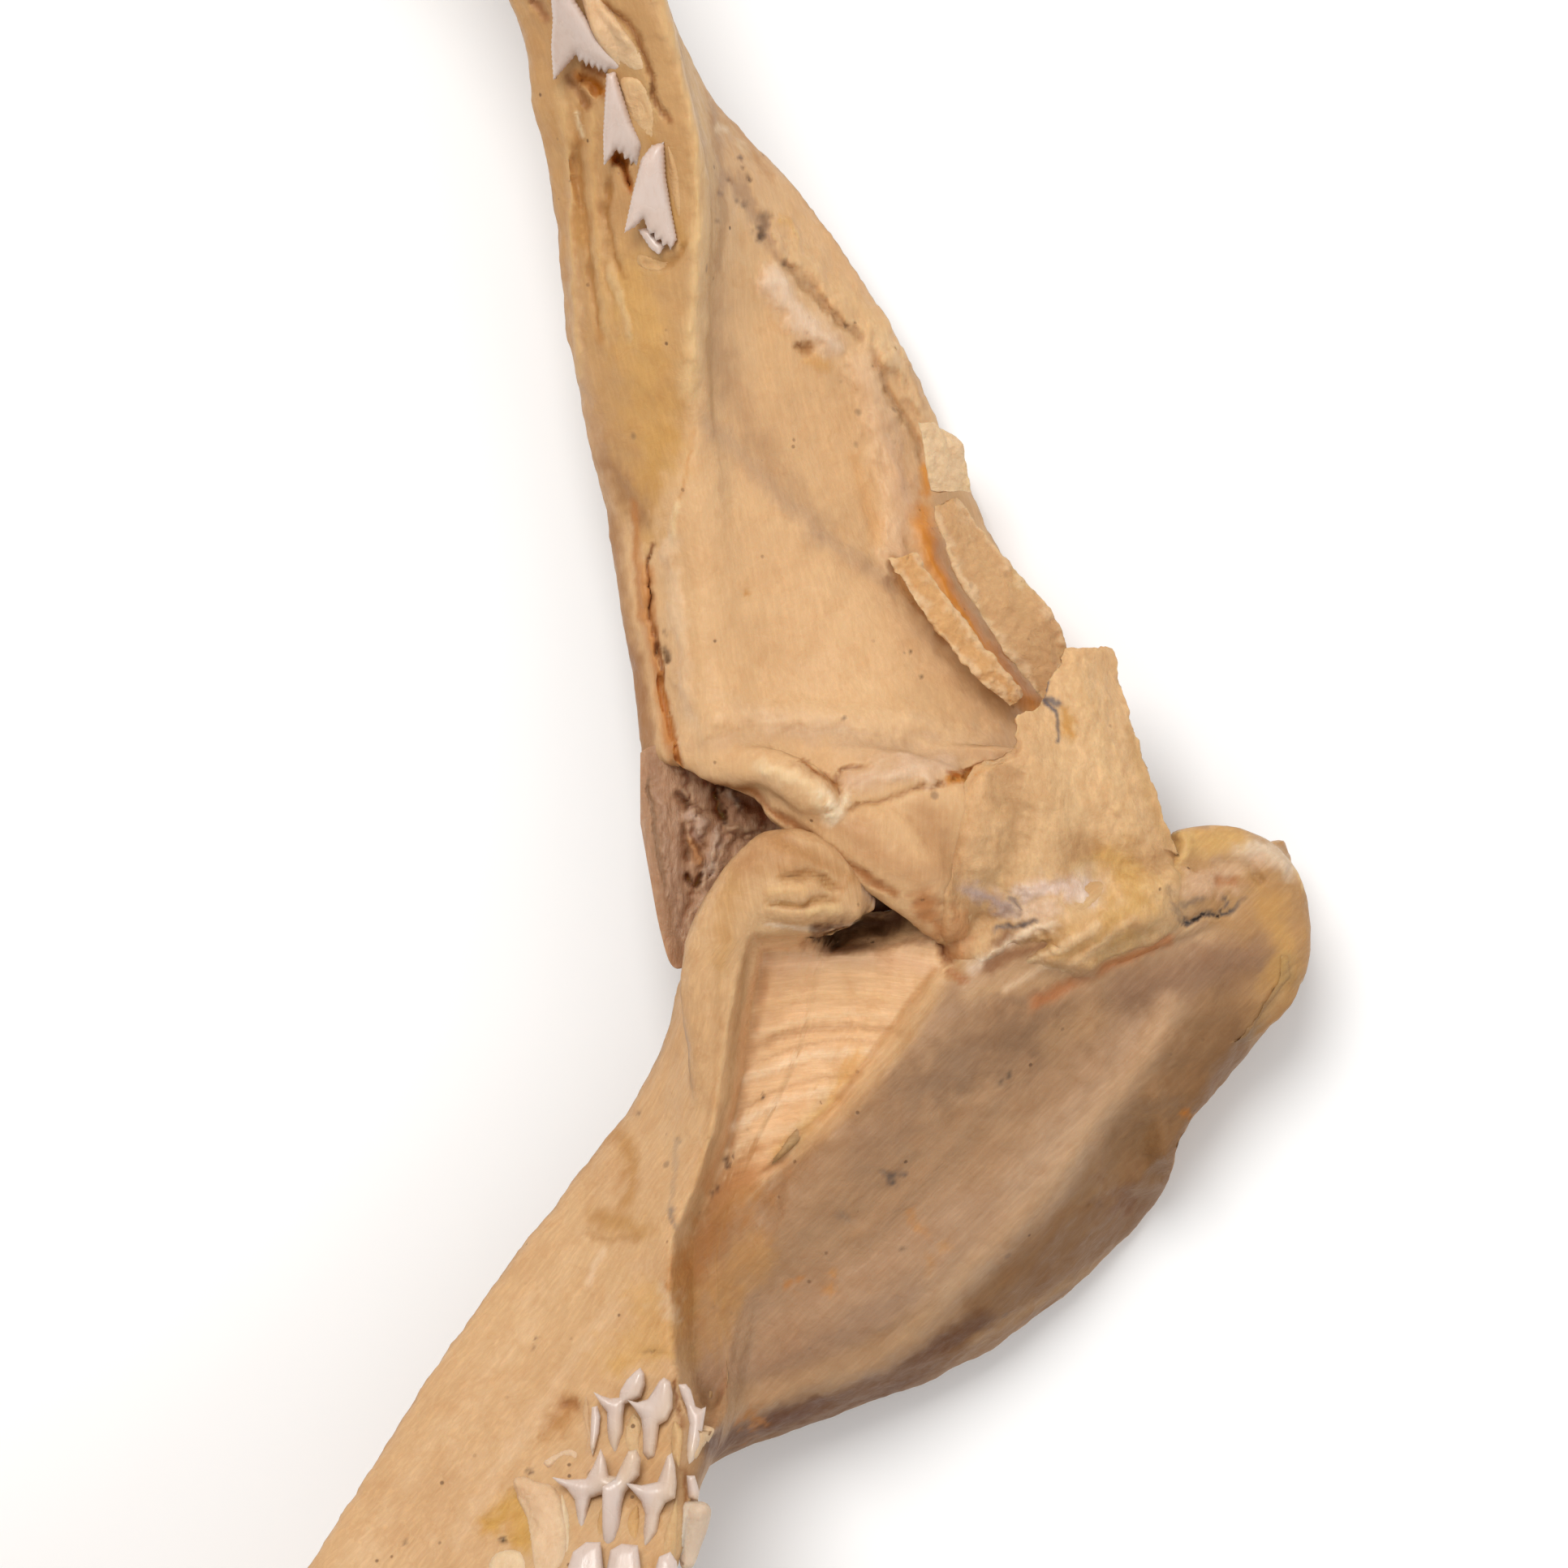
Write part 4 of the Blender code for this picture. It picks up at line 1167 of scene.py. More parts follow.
# Small stains of the lower half, and a few spots of painted shade: place, size, colour, strength.
LOWER_SPOTS = (
    (820,1600,26,0xDCC09C,0.6), (1462,1370,11,0xB47024,1), (1474,1376,10,0xC48028,0.95), (985,1582,13,0xC47E32,0.8),
    (972,1588,9,0xC47E32,0.7), (1018,1584,11,0xC88A42,0.7), (1026,1568,7,0xC88A42,0.6), (1126,1500,14,0xC08240,0.7),
    (1136,1512,12,0xC48A4C,0.6), (1150,1560,16,0xC69056,0.5), (1160,1540,12,0xC69056,0.5),
    # The four large dark brown spots round (1352-1395, 1455-1482) are painted shade in the hollow beside the rim.
    (930,1752,22,0xBE7828,0.8), (1375,1470,28,0x84562C,0.7), (1390,1480,20,0x7E5028,0.6),
    (1352,1482,12,0x704828,0.6), (1395,1455,12,0x784E28,0.5), (1240,1322,6,0x624E3C), (1234,1334,8,0x685442,0.8),
    (1100,1462,9,0x463E3E,0.95), (1098,1452,10,0x584E4A,0.85), (1112,1448,8,0x60544E,0.8),
    (1088,1446,7,0x78685C,0.6), (1040,1500,14,0x8C7662,0.5), (898,1436,8,0x64422A,0.95), (894,1428,6,0x6E4A30),
    (902,1424,5,0x64422A), (884,1466,7,0x704A30,0.85), (876,1472,5,0x78543C,0.8), (940,1350,4,0x5A4232),
    (1110,1540,4,0x785E46,0.8), (500,1902,4,0x644E3A,0.8), (655,1660,5,0x70543C,0.8), (660,1648,4,0x82644A,0.7),
    (784,1372,4,0x8C6E54,0.7), (836,1402,4,0x8C7864,0.7)
)


def lay_spots(s, spots):
    """Draws small round spots, sunk a little: stains, and a few spots of painted shade."""
    s.draw([((a, b), size, -0.12, colour, *(strength or (0.9,)), 0.9) for a, b, size, colour, *strength in spots])


def finish_surface(s, settings, seed):
    """Swells and sinks the drawn surface a little."""
    s.write()
    for size, share, shift in ((9.0, 1.4, 0.0), (2.4, 0.7, 2.0)):
        s.roughen(size, share * settings.unevenness / MM, 3, seed + shift)
    s.write()


def build_lower(settings):
    rows = lower_rows()
    s = arm_surface("lower_half", rows, LOWER_RODS, settings, LOWER_BOX, 0.93)
    for zone in LOWER_ZONES:
        s.zone(*zone)
    s.level(TROUGH, 14, TROUGH_FLOOR)
    s.level(BESIDE_BAR, 14, BESIDE_HEIGHTS, -0.4)
    s.level(END_FIELD, 34, END_HEIGHTS)
    s.write()
    s.draw(LOWER_TINTS)
    s.draw(LOWER_FORMS)
    # Painted shade on the lower rim, on its steep faces too.
    s.draw(PAINTED_RIM_SHADE, False)
    lay_spots(s, LOWER_SPOTS)
    finish_surface(s, settings, 2.0)
    s.store(lower_grain(s, rows))
    return s.mesh


# Where the fibres of the lower half run in their own ways.
WING = (860,1790,838,1600,850,1510,960,1430,1165,1190,1700,900,1700,1500)
HOLLOW = (900,1470,925,1150,1165,1130,1165,1190,960,1430)


def lower_grain(s, rows):
    """Fibres run along the bar, in arcs across the trough and slantwise over the wing."""
    a, b = s.sheet.T
    z = s.points[:, 2]
    slant = np.stack(((a - b) * 0.0062, (a + b) * 0.052, z * 0.5), 1)
    far = np.hypot(a - 1040, b - 1900)
    arcs = np.stack((np.arctan2(a - 1040, 1900 - b) * 5.0, far * 0.085, z * 0.3), 1)
    grain = s.grain_along(rows)
    for outline, way in ((WING, slant), (HOLLOW, arcs)):
        grain = np.where((inside(s.sheet, outline, 8) > 0.5)[:, None], way, grain)
    return grain


# ---- the upper jaw ----


UPPER_BOX = ((50, -15, 4), (140, 90, 60))
UPPER_RODS = (
    ((852,925,23,890,938,24,950,958,25), (2.2,2.4,2.4), 0.8),
    ((880,948,24.4,930,944,27.2,968,956,29.0,1000,978,29.4,1026,1002,28.2), (1.6,2.0,2.3,2.3,1.4)),
    ((975,985,25.6,1030,1010,26.4,1090,1048,27.2,1130,1084,26.8,1162,1126,24.8), (3.2,4.4,4.8,4.2,3.0), 0.8),
    ((1040,960,25.4,1110,985,25.8,1180,1020,24.6,1230,1080,22.4,1240,1130,20.4), (3.8,5.2,5.6,5.0,4.0), 0.7),
    ((1090,954,22.6,1180,956,22.4,1270,968,21,1330,1010,19.4), (3.0,3.4,3.4,3.0), 0.7),
)
UPPER_STRIP = (
    560,-300,780,-300,800,0,834,60,852,120,862,180,868,240,862,310,854,400,850,530,840,560,790,640,760,640,700,400,
    600,0
)
UPPER_LUMPS = (1000,1000,1040,960,1170,960,1210,1080,1160,1160)


UPPER_TINTS = (
    ((700,330,716,450,738,560,758,690), 20, 0, 0xC8A27C, 0.8, 0.3),
    ((690,140,708,230,718,300), 14, 0, 0xC69252, 0.7, 0.5),
    ((776,350,790,420,800,490,810,560), 56, 0, 0xD8A864, 0.8, 0.3),
    ((820,540,800,600,800,660), 26, 0, 0xCC9A56, 0.7, 0.5),
    ((752,640,768,760,788,880,800,950), 22, 0, 0xB08256, 0.85, 0.3),
    ((748,570,772,606,790,640), 24, 0, 0xAA7C50, 0.85),
    ((780,620,788,700,794,760), 9, 0, 0xBC7A3E, 0.8),
    ((798,700,804,800,822,900,838,956), 12, 0, 0xC47E3C, 0.85, 0.3),
    ((866,330,884,430,940,560,1010,650), 36, 0, 0xC09870, 0.65, 0.3),
    ((940,400,1000,500,1050,600,1090,690), 56, 0, 0xE2B684, 0.65),
    # Tan along the left side of the inner fold, where it meets the blade: painted shade.
    ((1100,700,1160,790,1230,870), 26, -0.5, 0xCE9C64, 0.6, 0.3),
    ((880,640,960,700,1080,800), 90, 0, 0xE4BA8A, 0.5, 0.5),
    ((920,880,1050,910,1160,940), 30, 0, 0xD4B08C, 0.6),
)
UPPER_STEEP = (
    ((778,800,790,860,800,910,806,950), 16, 0, 0xA6764C, 0.75, 0.3),
)
UPPER_FORMS = (
    ((1020,1000,1070,1040,1130,1080), 34, 0, 0xC69668, 0.75, 0.3),
    ((1140,1000,1160,1050,1174,1100), 36, 0, 0xC09062, 0.75, 0.3),
    ((800,-60,824,20,846,80,860,150,866,220,864,300,856,400,852,480), 24, 0.8, 0xE2BE8A, 0.8, 0.2),
    ((876,130,886,200,888,270,882,330), 10, 0, 0xB2885C, 0.7, 0.3),
    ((744,2,778,34,793,61,803,95,809,124,824,150), 7, -0.9, 0x9C6436, 0.9),
    ((728,10,752,30,778,60), 12, 0.5, 0xCEAC7E, 0.6),
    ((800,170,826,250,842,300), 9, 0, 0xC69654, 0.6),
    ((690,110,700,200,704,320,716,460), 10, 0.6, 0xDEB884),
    ((714,130,712,200,724,300,742,420), 8, -0.6, 0xBA864C, 0.8, 0.5),
    ((708,140,716,170), 5, 0.3, 0xECD6B0, 0.7, 0.5),
    ((730,140,728,200,736,300,752,420), 9, 0.5, 0xD8AE76),
    ((752,216,748,260,760,320,772,340), 9, -0.6, 0xB48046, 0.8, 0.5),
    ((790,322,820,326,846,300), 8, -0.5, 0xB6844A, 0.8, 0.5),
    ((752,330,770,380,778,420), 8, 0.3, 0xE2C090, 0.6, 0.6),
    ((712,92,732,100,744,112), 13, -1.8, 0xB06816, 1, 0.3),
    ((720,80,744,92), 9, -0.6, 0x965812, 1, 0.3),
    ((754,186,772,200), 9, -0.8, 0x925418, 1, 0.3),
    ((769,202,778,234), 5, -0.8, 0x743418, 1),
    ((700,96,716,112,724,130), 9, -0.8, 0x966032, 0.85),
    ((756,196,766,200,772,214,776,232), 9, -1.6, 0xBE6C1E, 1),
    ((655,0,668,10,672,24), 10, -0.6, 0xA6704A, 0.8),
    ((1000,560,1000,700,990,800), 150, -1.3, None, 0, 0),
    ((872,520,930,580,1010,660,1100,720), 18, 0.3, 0xB89678, 0.45),
    ((855,530,848,570,838,620), 4, -0.15, 0xD29654, 0.5, 0.8),
    ((838,620,830,650,826,672), 8, 0.3, 0xE8CA9C, 0.7, 0.5),
    ((846,892,900,884,1000,880,1120,896,1250,918), 26, 0.7, 0xE4BE92, 0.5),
    ((850,920,900,914,1000,906,1120,918,1240,936), 20, 0, 0xCCA47C, 0.6),
    ((845,964,880,968,920,972), 11, -0.6, 0x965E2C, 0.95),
    ((805,670,797,700,803,730,800,760,812,800,816,840), 4, -1.2, 0x965C30, 0.9, 1),
    ((812,830,820,870,830,912,845,962), 5, -1.2, 0xBE7838, 0.9, 0.7),
    ((826,664,828,720,836,780,842,830,848,880), 15, 0.6, 0xE2C09A, 0.7, 0.5),
    ((792,690,796,750,804,810), 6, 0.4, 0xCE9660, 0.6, 0.6),
    ((818,800,824,812), 6, -0.6, 0x6E4C2E, 0.9, 0.6),
    ((988,936,1002,950,1022,962,1028,970), 5, -0.8, 0xAA703C, 0.9, 0.6),
    ((1028,970,1034,952,1046,946,1062,943), 5, -0.8, 0xAA703C, 0.9, 0.6),
    ((1030,970,1036,986,1028,1000), 4, -0.6, 0xB27C4A, 0.9, 0.7),
    ((1044,996,1070,990,1100,982,1132,970,1172,962), 5, -0.6, 0xBA8654, 0.8, 0.9),
    ((1050,966,1100,948,1156,940), 30, 0.7, 0xD8B494, 0.7, 0.5),
    ((1090,952,1130,952), 18, 0.2, 0xE4C4A4, 0.7, 0.8),
    ((1020,1000,1034,990,1044,984), 12, 0.6, 0xF0D6B2, 0.9, 0.7),
    ((1172,959,1190,958,1212,949), 9, -1.5, 0xE09842, 1),
    ((1170,950,1195,948,1212,940), 5, 0, 0xAA6024, 0.8, 0.5),
    ((940,944,970,956,1000,976,1026,1000), 20, 0.3, 0xEED0A4, 0.9, 0.5),
    ((1010,976,1030,996,1024,1008), 10, 0.7, 0xF4DCBA, 0.9, 0.9),
    ((975,940,1004,956,1026,982), 7, -0.5, 0xCEA070, 0.6, 0.7),
    # Dark orange-brown along the lower left edge of the boss: painted shadow.
    ((925,975,960,1006,1004,1034,1054,1074,1104,1102), 9, -0.5, 0xAC6C38, 0.85, 0.5),
    ((1136,1108,1158,1150), 22, -0.4, 0xB8743C, 0.8, 0.5),
    ((896,214,916,240,938,272,956,312), 17, -0.4, 0xB08A6A, 0.7, 0.5),
    ((944,262,942,290), 10, -0.5, 0x886850, 0.7, 0.6),
    ((966,268,982,292), 14, 0.4, 0xD8A86A, 0.8, 0.6),
    ((884,158,894,162), 8, 0.4, 0xE8CCA8, 0.8, 0.6),
    ((910,180,930,190), 10, 0.4, 0xE6C8A0, 0.8, 0.6),
    ((872,116,894,136,920,176,950,216), 12, 0, 0xC89866, 0.7, 0.5),
    ((980,306,1020,350,1064,392,1096,436), 30, 0.6, 0xE2BC8C, 0.7, 0.6),
    # Soft brown beside the raised pale patch: painted shadow.
    ((964,322,985,345,1005,365,1018,380,1030,392,1046,402,1062,420), 9, -0.9, 0xBA9066, 0.8, 0.5),
    ((950,348,980,384,1004,408,1022,420), 30, 1.2, 0xEACCAE, 0.95, 0.35),
    ((984,428,996,432), 9, -0.6, 0xAC7642, 0.9, 0.6),
    ((996,446,1022,450), 12, 0.2, 0xDAA664, 0.7, 0.6),
    ((1073,431,1085,460,1098,489,1114,518,1131,545,1138,580), 8, -0.9, 0xC0966A, 0.8, 0.5),
    ((1064,450,1084,520,1102,580,1112,640,1104,690), 32, 1.2, 0xE6C098, 0.9, 0.3),
    ((1050,560,1066,610,1082,660), 14, -0.2, 0xE0AC72, 0.6),
    ((1092,426,1128,486,1152,540), 19, 0.9, 0xDEBA8E, 0.8, 0.6),
    ((1118,450,1140,500), 6, 0.3, 0xBE9266, 0.6, 0.6),
    ((1139,578,1142,606), 11, -0.3, 0xE09842, 1),
    ((1135,630,1142,662,1160,712,1200,776,1240,832,1274,870), 22, 2, 0xE09842, 1, 0.2),
    # Darker brown line where the inner fold meets the blade: painted shadow.
    ((1100,690,1130,740,1170,790), 12, -0.8, 0xB0763E, 0.8),
)
UPPER_SPOTS = (
    (909,195,6,0x684228,0.95), (921,220,7,0x6E4A30,0.95), (886,238,5,0x967254), (905,246,8,0x806046),
    (918,252,7,0x84644A), (940,288,9,0x5C4638,0.95), (934,278,7,0x68503E), (965,324,7,0x78583E,0.95),
    # The spot at (1044, 399) is the darkest point of the painted shadow beside the pale patch.
    (882,274,4,0x96704E,0.8), (898,222,5,0x8C684A,0.8), (912,206,4,0x8C684A,0.8), (1044,399,4,0x543E30,0.95),
    (924,732,9,0xCC924C), (1122,800,3.5,0x563C28,0.95), (1133,834,3.5,0x503826,0.95), (984,818,4,0x96704C,0.7),
    (1038,883,4,0x644C38), (820,812,6,0x64442A,0.95), (818,780,4,0x785032)
)


def build_upper(settings):
    rows = upper_rows()
    s = arm_surface("upper_half", rows, UPPER_RODS, settings, UPPER_BOX, 1.0)
    s.zone(UPPER_STRIP, 12, 0xCCA06C)
    s.draw(UPPER_TINTS)
    s.draw(UPPER_FORMS)
    s.draw(UPPER_STEEP, False)
    s.roughen(3.2, 0.3, 3, 41.0, inside(s.sheet, UPPER_LUMPS, 24))
    lay_spots(s, UPPER_SPOTS)
    finish_surface(s, settings, 12.0)
    s.store(s.grain_along(rows))
    return s.mesh


# ---- torn margins, ligament and skin ----


def ground_of(*names):
    """The surface of pieces that are already placed."""
    missing = [name for name in names if name not in bpy.data.objects]
    if missing:
        raise RuntimeError("these pieces come first: " + ", ".join(missing))
    return Ground(*(bpy.data.objects[name].data for name in names))


# Edges of each loose strip as sheet points with a height: name, left, right, thickness, fraying, colour.
LOOSE_STRIPS = (
    ("torn_tab", (1132, 520, 17.2, 1140, 560, 16.6, 1146, 606, 15.6),
     (1156, 526, 13.6, 1184, 548, 12.8, 1197, 606, 12.2), 0.8, 0.05, 0xE8C9A0),
    ("outer_fold", (1150, 624, 16.6, 1172, 690, 16.4, 1208, 758, 16, 1248, 816, 15.6, 1292, 868, 15),
     (1178, 612, 13.5, 1235, 684, 13, 1292, 748, 12.5, 1316, 800, 12, 1330, 850, 12), 0.9, 0.12, 0xD0A676),
    ("inner_fold", (1094, 690, 22.4, 1130, 742, 21.9, 1180, 808, 21, 1244, 872, 19.7),
     (1128, 680, 21.2, 1168, 738, 20.6, 1216, 800, 19.8, 1262, 856, 18.9), 1.1, 0.22, 0xD8A870),
)


# Points along and across each kind of sheet.
STRIP_GRID = (150, 28)
LIGAMENT_GRID = (210, 84)
WEB_GRID = (190, 90)
LIGAMENT_THICK = 1.3
WEB_THICK = 1.2


def strip_meshes():
    """Thin sheets between two edges, with frayed borders."""
    along, across = STRIP_GRID
    share = np.linspace(0, 1, across)
    for name, left, right, thick, ragged, colour in LOOSE_STRIPS:
        top = between(left, right, along, across)
        top[..., 2] += 0.4 * np.sin(math.pi * share)[None, :]
        flat = frayed(top.reshape(-1, 3), along, across, 0.16, 0.05, (ragged, 0.05), 3.0)
        depth = thick * (0.55 + 0.45 * np.minimum(1, np.minimum(share, 1 - share) / 0.12))
        s = Surface(slab(name, flat.reshape(along, across, 3), depth[None, :]))
        s.tint[:] = srgb(colour)
        edges = [np.reshape(edge, (-1, 3))[:, :2].ravel() for edge in (left, right)]
        s.draw([(edge, 12, 0.2, 0xEACAA2, 0.6, 1.0) for edge in edges], False)
        s.roughen(3.2, 0.35, 3, 19.0)
        s.roughen(1.0, 0.08, 2, 23.0)
        s.write()
        s.store(s.points * np.array((0.5, 0.5, 0.5)))
        yield name, s.mesh


LIGAMENT_LEFT = (
    1312, 800, 20, 1292, 842, 23, 1276, 876, 24, 1254, 884, 25, 1246, 926, 27, 1200, 944, 29, 1180, 1000, 29.2, 1162,
    1060, 29, 1150, 1110, 27.6, 1156, 1160, 25.2, 1166, 1206, 24.6
)
LIGAMENT_RIGHT = (
    1371, 799, 17.6, 1382, 845, 18, 1396, 890, 19, 1411, 940, 20, 1428, 990, 20.4, 1446, 1034, 20, 1462, 1080, 19,
    1470, 1120, 18.6, 1456, 1156, 19, 1390, 1182, 20.4, 1310, 1206, 22
)
LIGAMENT_MARKS = (
    ((1250,900,1300,1000,1290,1100), 50, 0.7, None, 0, 0),
    ((1300,940,1330,1040,1330,1100), 44, -0.7, None, 0, 0),
    ((1320,810,1350,900,1400,1020,1430,1090), 34, 0.7, 0xE4BE8C, 0.5, 0.3),
    # Darker tan down the left valley of the flap: painted shade.
    ((1240,960,1250,1020,1222,1080,1196,1120), 34, -0.6, 0xC09466, 0.65, 0.3),
    ((1330,1040,1380,1064,1430,1060), 32, 0, 0xBE9262, 0.75),
    # Brown between the pale patch and the lower fibres: painted shadow.
    ((1230,1160,1260,1176,1300,1160), 24, -0.5, 0x926642, 0.85, 0.5),
    ((1300,1172,1350,1160,1400,1140), 22, 0, 0xB08458, 0.75),
    ((1180,1130,1186,1180), 22, 0, 0xBE804C, 0.7, 0.5),
    ((1392,900,1416,980,1440,1040), 9, 0, 0xC8A06A, 0.6),
    ((1196,1096,1226,1110,1240,1126), 18, 0.2, 0xBAA096, 0.9, 0.6),
    ((1262,1104,1300,1094,1344,1096), 24, 0.5, 0xE8CCBA, 0.95, 0.5),
    ((1250,1130,1300,1124), 16, 0.3, 0xE4C4A8, 0.8, 0.7),
    ((1370,1052,1400,1090,1376,1140), 34, 0, 0xD4A864, 0.85),
    ((1300,1170,1390,1130), 34, 0, 0xCEA266),
    ((1200,1190,1262,1150,1300,1140), 9, 0.35, 0xEAD0B2, 0.7, 0.6),
    ((1220,1210,1300,1170,1350,1140), 8, 0.3, 0xE4C298, 0.7, 0.6),
    ((1270,1216,1340,1176,1400,1130), 8, 0.25, 0xE2BE92, 0.6, 0.6),
    ((1230,1196,1290,1160), 6, -0.25, 0xA6784E, 0.6, 0.7),
    ((1290,840,1286,862,1298,876), 5, -0.3, 0x605A60, 0.95, 0.7),
    ((1288,862,1306,868), 8, 0, 0x706664, 0.9, 0.9),
    ((1300,876,1304,900,1302,914), 4, 0, 0x6E6460, 0.9, 0.8),
    ((1312,880,1318,906), 14, 0, 0xCC964A, 0.8, 0.6),
    ((1224,1142,1244,1146,1262,1140), 7, -0.3, 0x70625E, 0.8, 0.9),
    ((1244,1108,1256,1122,1252,1132), 4, -0.2, 0x867670, 0.7, 0.9),
    ((1262,1142,1276,1136), 6, 0, 0x685A56, 0.85, 0.9),
)


def ligament_mesh(ground):
    """A sheet that stands free at its top and grows onto both jaws below and beside."""
    along, across = LIGAMENT_GRID
    top = between(LIGAMENT_LEFT, LIGAMENT_RIGHT, along, across)
    share = np.linspace(0, 1, across)
    top[..., 2] += 0.9 * np.sin(math.pi * share)[None, :]
    flat = frayed(top.reshape(-1, 3), along, across, 0.06, 0.03, (0.22, 0.03), 8.0)
    ends = np.repeat(np.linspace(0, 1, along), across)
    side = np.tile(share, along)
    base = ground.under(to_sheet(flat), -50.0)[:, 2]
    over = base + 0.5
    touch = climb(over - flat[:, 2], -4.0, 3.0) * (ends > 0.12)
    height = np.where(base > 0, mixed(flat[:, 2], np.maximum(flat[:, 2], over), touch), flat[:, 2])
    grown = climb(ends, 0.5, 0.12) * falloff((1 - side) / 0.4)
    lowest = np.maximum(climb(ends, 0.62, 0.2), grown) * (base > 0)
    height = mixed(height, over, lowest).reshape(along, across)
    for _ in range(6):
        beside = height[:-2, 1:-1] + height[2:, 1:-1] + height[1:-1, :-2] + height[1:-1, 2:]
        height[1:-1, 1:-1] = (height[1:-1, 1:-1] * 2 + beside) / 6
    low = climb(ends, 0.28, 0.06)
    right = falloff((1 - side) / 0.08) * (ends > 0.5)
    dive = np.maximum.reduce((falloff(side / 0.07) * low, falloff((1 - ends) / 0.10), right))
    flat[:, 2] = height.reshape(-1) - 1.4 * dive * (base > 0)
    s = Surface(slab("ligament", flat.reshape(along, across, 3), LIGAMENT_THICK))
    s.tint[:] = srgb(0xDEB686)
    melt = np.maximum.reduce((falloff(side / 0.34) * low, falloff((1 - ends) / 0.3), 0.9 * grown)) * (base > 0)
    ground.melt(s, np.tile(melt, 2))
    s.draw(LIGAMENT_MARKS)
    s.write()
    s.roughen(6.0, 0.4, 3, 6.0)
    s.roughen(2.0, 0.1, 3, 7.0)
    s.write()
    s.store(s.points * np.array((0.45, 0.22, 0.3)))
    return s.mesh


# Columns across the corner, in the rows' origin: x, first y, last y, height.
WEB_COLUMNS = (
    (77.9,15.4,22.6,19.4), (78.8,10.4,23.2,20.0), (80.0,4.2,23.4,20.2), (81.4,0.6,23.2,19.8), (84.2,1.6,23.2,18.6),
    (89.0,3.2,22.6,17.6), (97.0,5.0,21.4,16.8), (106.0,7.0,20.4,16.4), (113.0,8.7,20.2,16.0)
)
WEB_MARGIN = ((788,940), (790,1000), (803,1065), (815,1135), (832,1195))
WEB_MARKS = (
    ((802,930,806,1000,818,1070,832,1140,840,1180), 20, 0, 0xA68062, 0.85, 0.2),
    ((896,1000,930,992,950,984), 16, 0, 0xB07C56, 0.8, 0.6),
    ((800,960,806,1020,818,1090), 5, -0.2, 0x96785C, 0.7, 0.7),
    ((812,980,820,1040,830,1110,838,1150), 7, 0.2, 0xBE9A80, 0.7, 1),
    ((830,1000,834,1060,842,1130), 9, 0.2, 0xC29E84, 0.7, 1),
    ((838,984,846,992), 9, -0.9, 0x5C3C24, 0.9, 0.7),
    ((850,1004,866,1012,862,1024), 13, 0.6, 0xD4B6A2, 0.85, 0.7),
    ((842,1020,846,1060), 6, -0.6, 0x785232, 0.85, 0.7),
    ((852,1040,864,1060), 11, 0.8, 0xBE8450, 0.9, 0.5),
    ((846,1078,858,1090,866,1076), 6, -0.9, 0x56321A, 1, 0.6),
    ((878,975,890,1000,896,1012), 7, -1, 0x5A381E, 1, 0.6),
    ((900,980,908,992), 10, 0.9, 0xD6C2B0, 0.8, 0.5),
    ((880,968,930,972), 8, -0.7, 0x684226, 1, 0.5),
    ((916,992,940,1004,956,1012), 13, -0.4, 0xA06A44, 1, 0.6),
    ((890,990,912,1010,900,1030), 10, 0.4, 0xD4A888, 0.8, 0.8),
    ((884,1024,880,1050,872,1074), 10, 0.5, 0xD8BEAA, 0.85, 0.7),
    ((904,1018,920,1020), 9, 0.4, 0xCEAC8E, 0.8, 0.7),
    ((896,1030,886,1060,870,1092,854,1130,846,1170), 10, 0.4, 0xCCA88C, 0.8, 1),
    ((856,1100,846,1130), 8, -0.4, 0xB28A68, 0.7, 0.7),
    # Dark brown band where the skin meets the cleft under the knob: painted shade.
    ((1000,1140,1070,1130,1130,1130), 50, 0, 0x58361E, 0.95, 0),
)


def web_mesh():
    """The dried skin across the corner: silvery at its edge, brown and pitted inside."""
    along, across = WEB_GRID
    x, first, last, z = (column[:, None] for column in curve_through(WEB_COLUMNS, along).T)
    share = np.linspace(0, 1, across)
    flat = np.empty((along, across, 3))
    flat[..., 0] = x
    flat[..., 1] = mixed(first, last, share) - CENTRE_Y
    flat[..., 2] = z - SINK + 0.7 * np.sin(math.pi * share)[None, :]
    flat = flat.reshape(-1, 3)
    within = 1 - falloff((near_path(to_sheet(flat), WEB_MARGIN)[0] - 34) / 26)
    lumps = grain_noise(flat, 2.2, 3, 21.0)
    pits = np.abs(grain_noise(flat, 2.8, 2, 25.0))
    flat[:, 2] += within * (0.5 * lumps - 0.55 * falloff(pits / 0.12))
    flat[:, 2] += 0.06 * grain_noise(flat, 0.8, 3, 29.0) * (1 + 1.5 * within)
    s = Surface(slab("web", flat.reshape(along, across, 3), WEB_THICK))
    s.tint[:] = srgb(0xBE9676)
    pale = np.clip(lumps * 1.4 + 0.2, 0, 1)
    deep = falloff(pits / 0.13) * within
    for colour, weight in ((0xCEA888, pale), (0x8C5830, deep)):
        s.tint = mixed(s.tint, srgb(colour), 0.5 * np.tile(weight, 2)[:, None])
    s.draw(WEB_MARKS)
    s.write()
    s.store(s.points * np.array((0.9, 0.13, 0.9)))
    return s.mesh


# How far a pad reaches into the arms beside it.
PAD_OVERLAP = 0.35


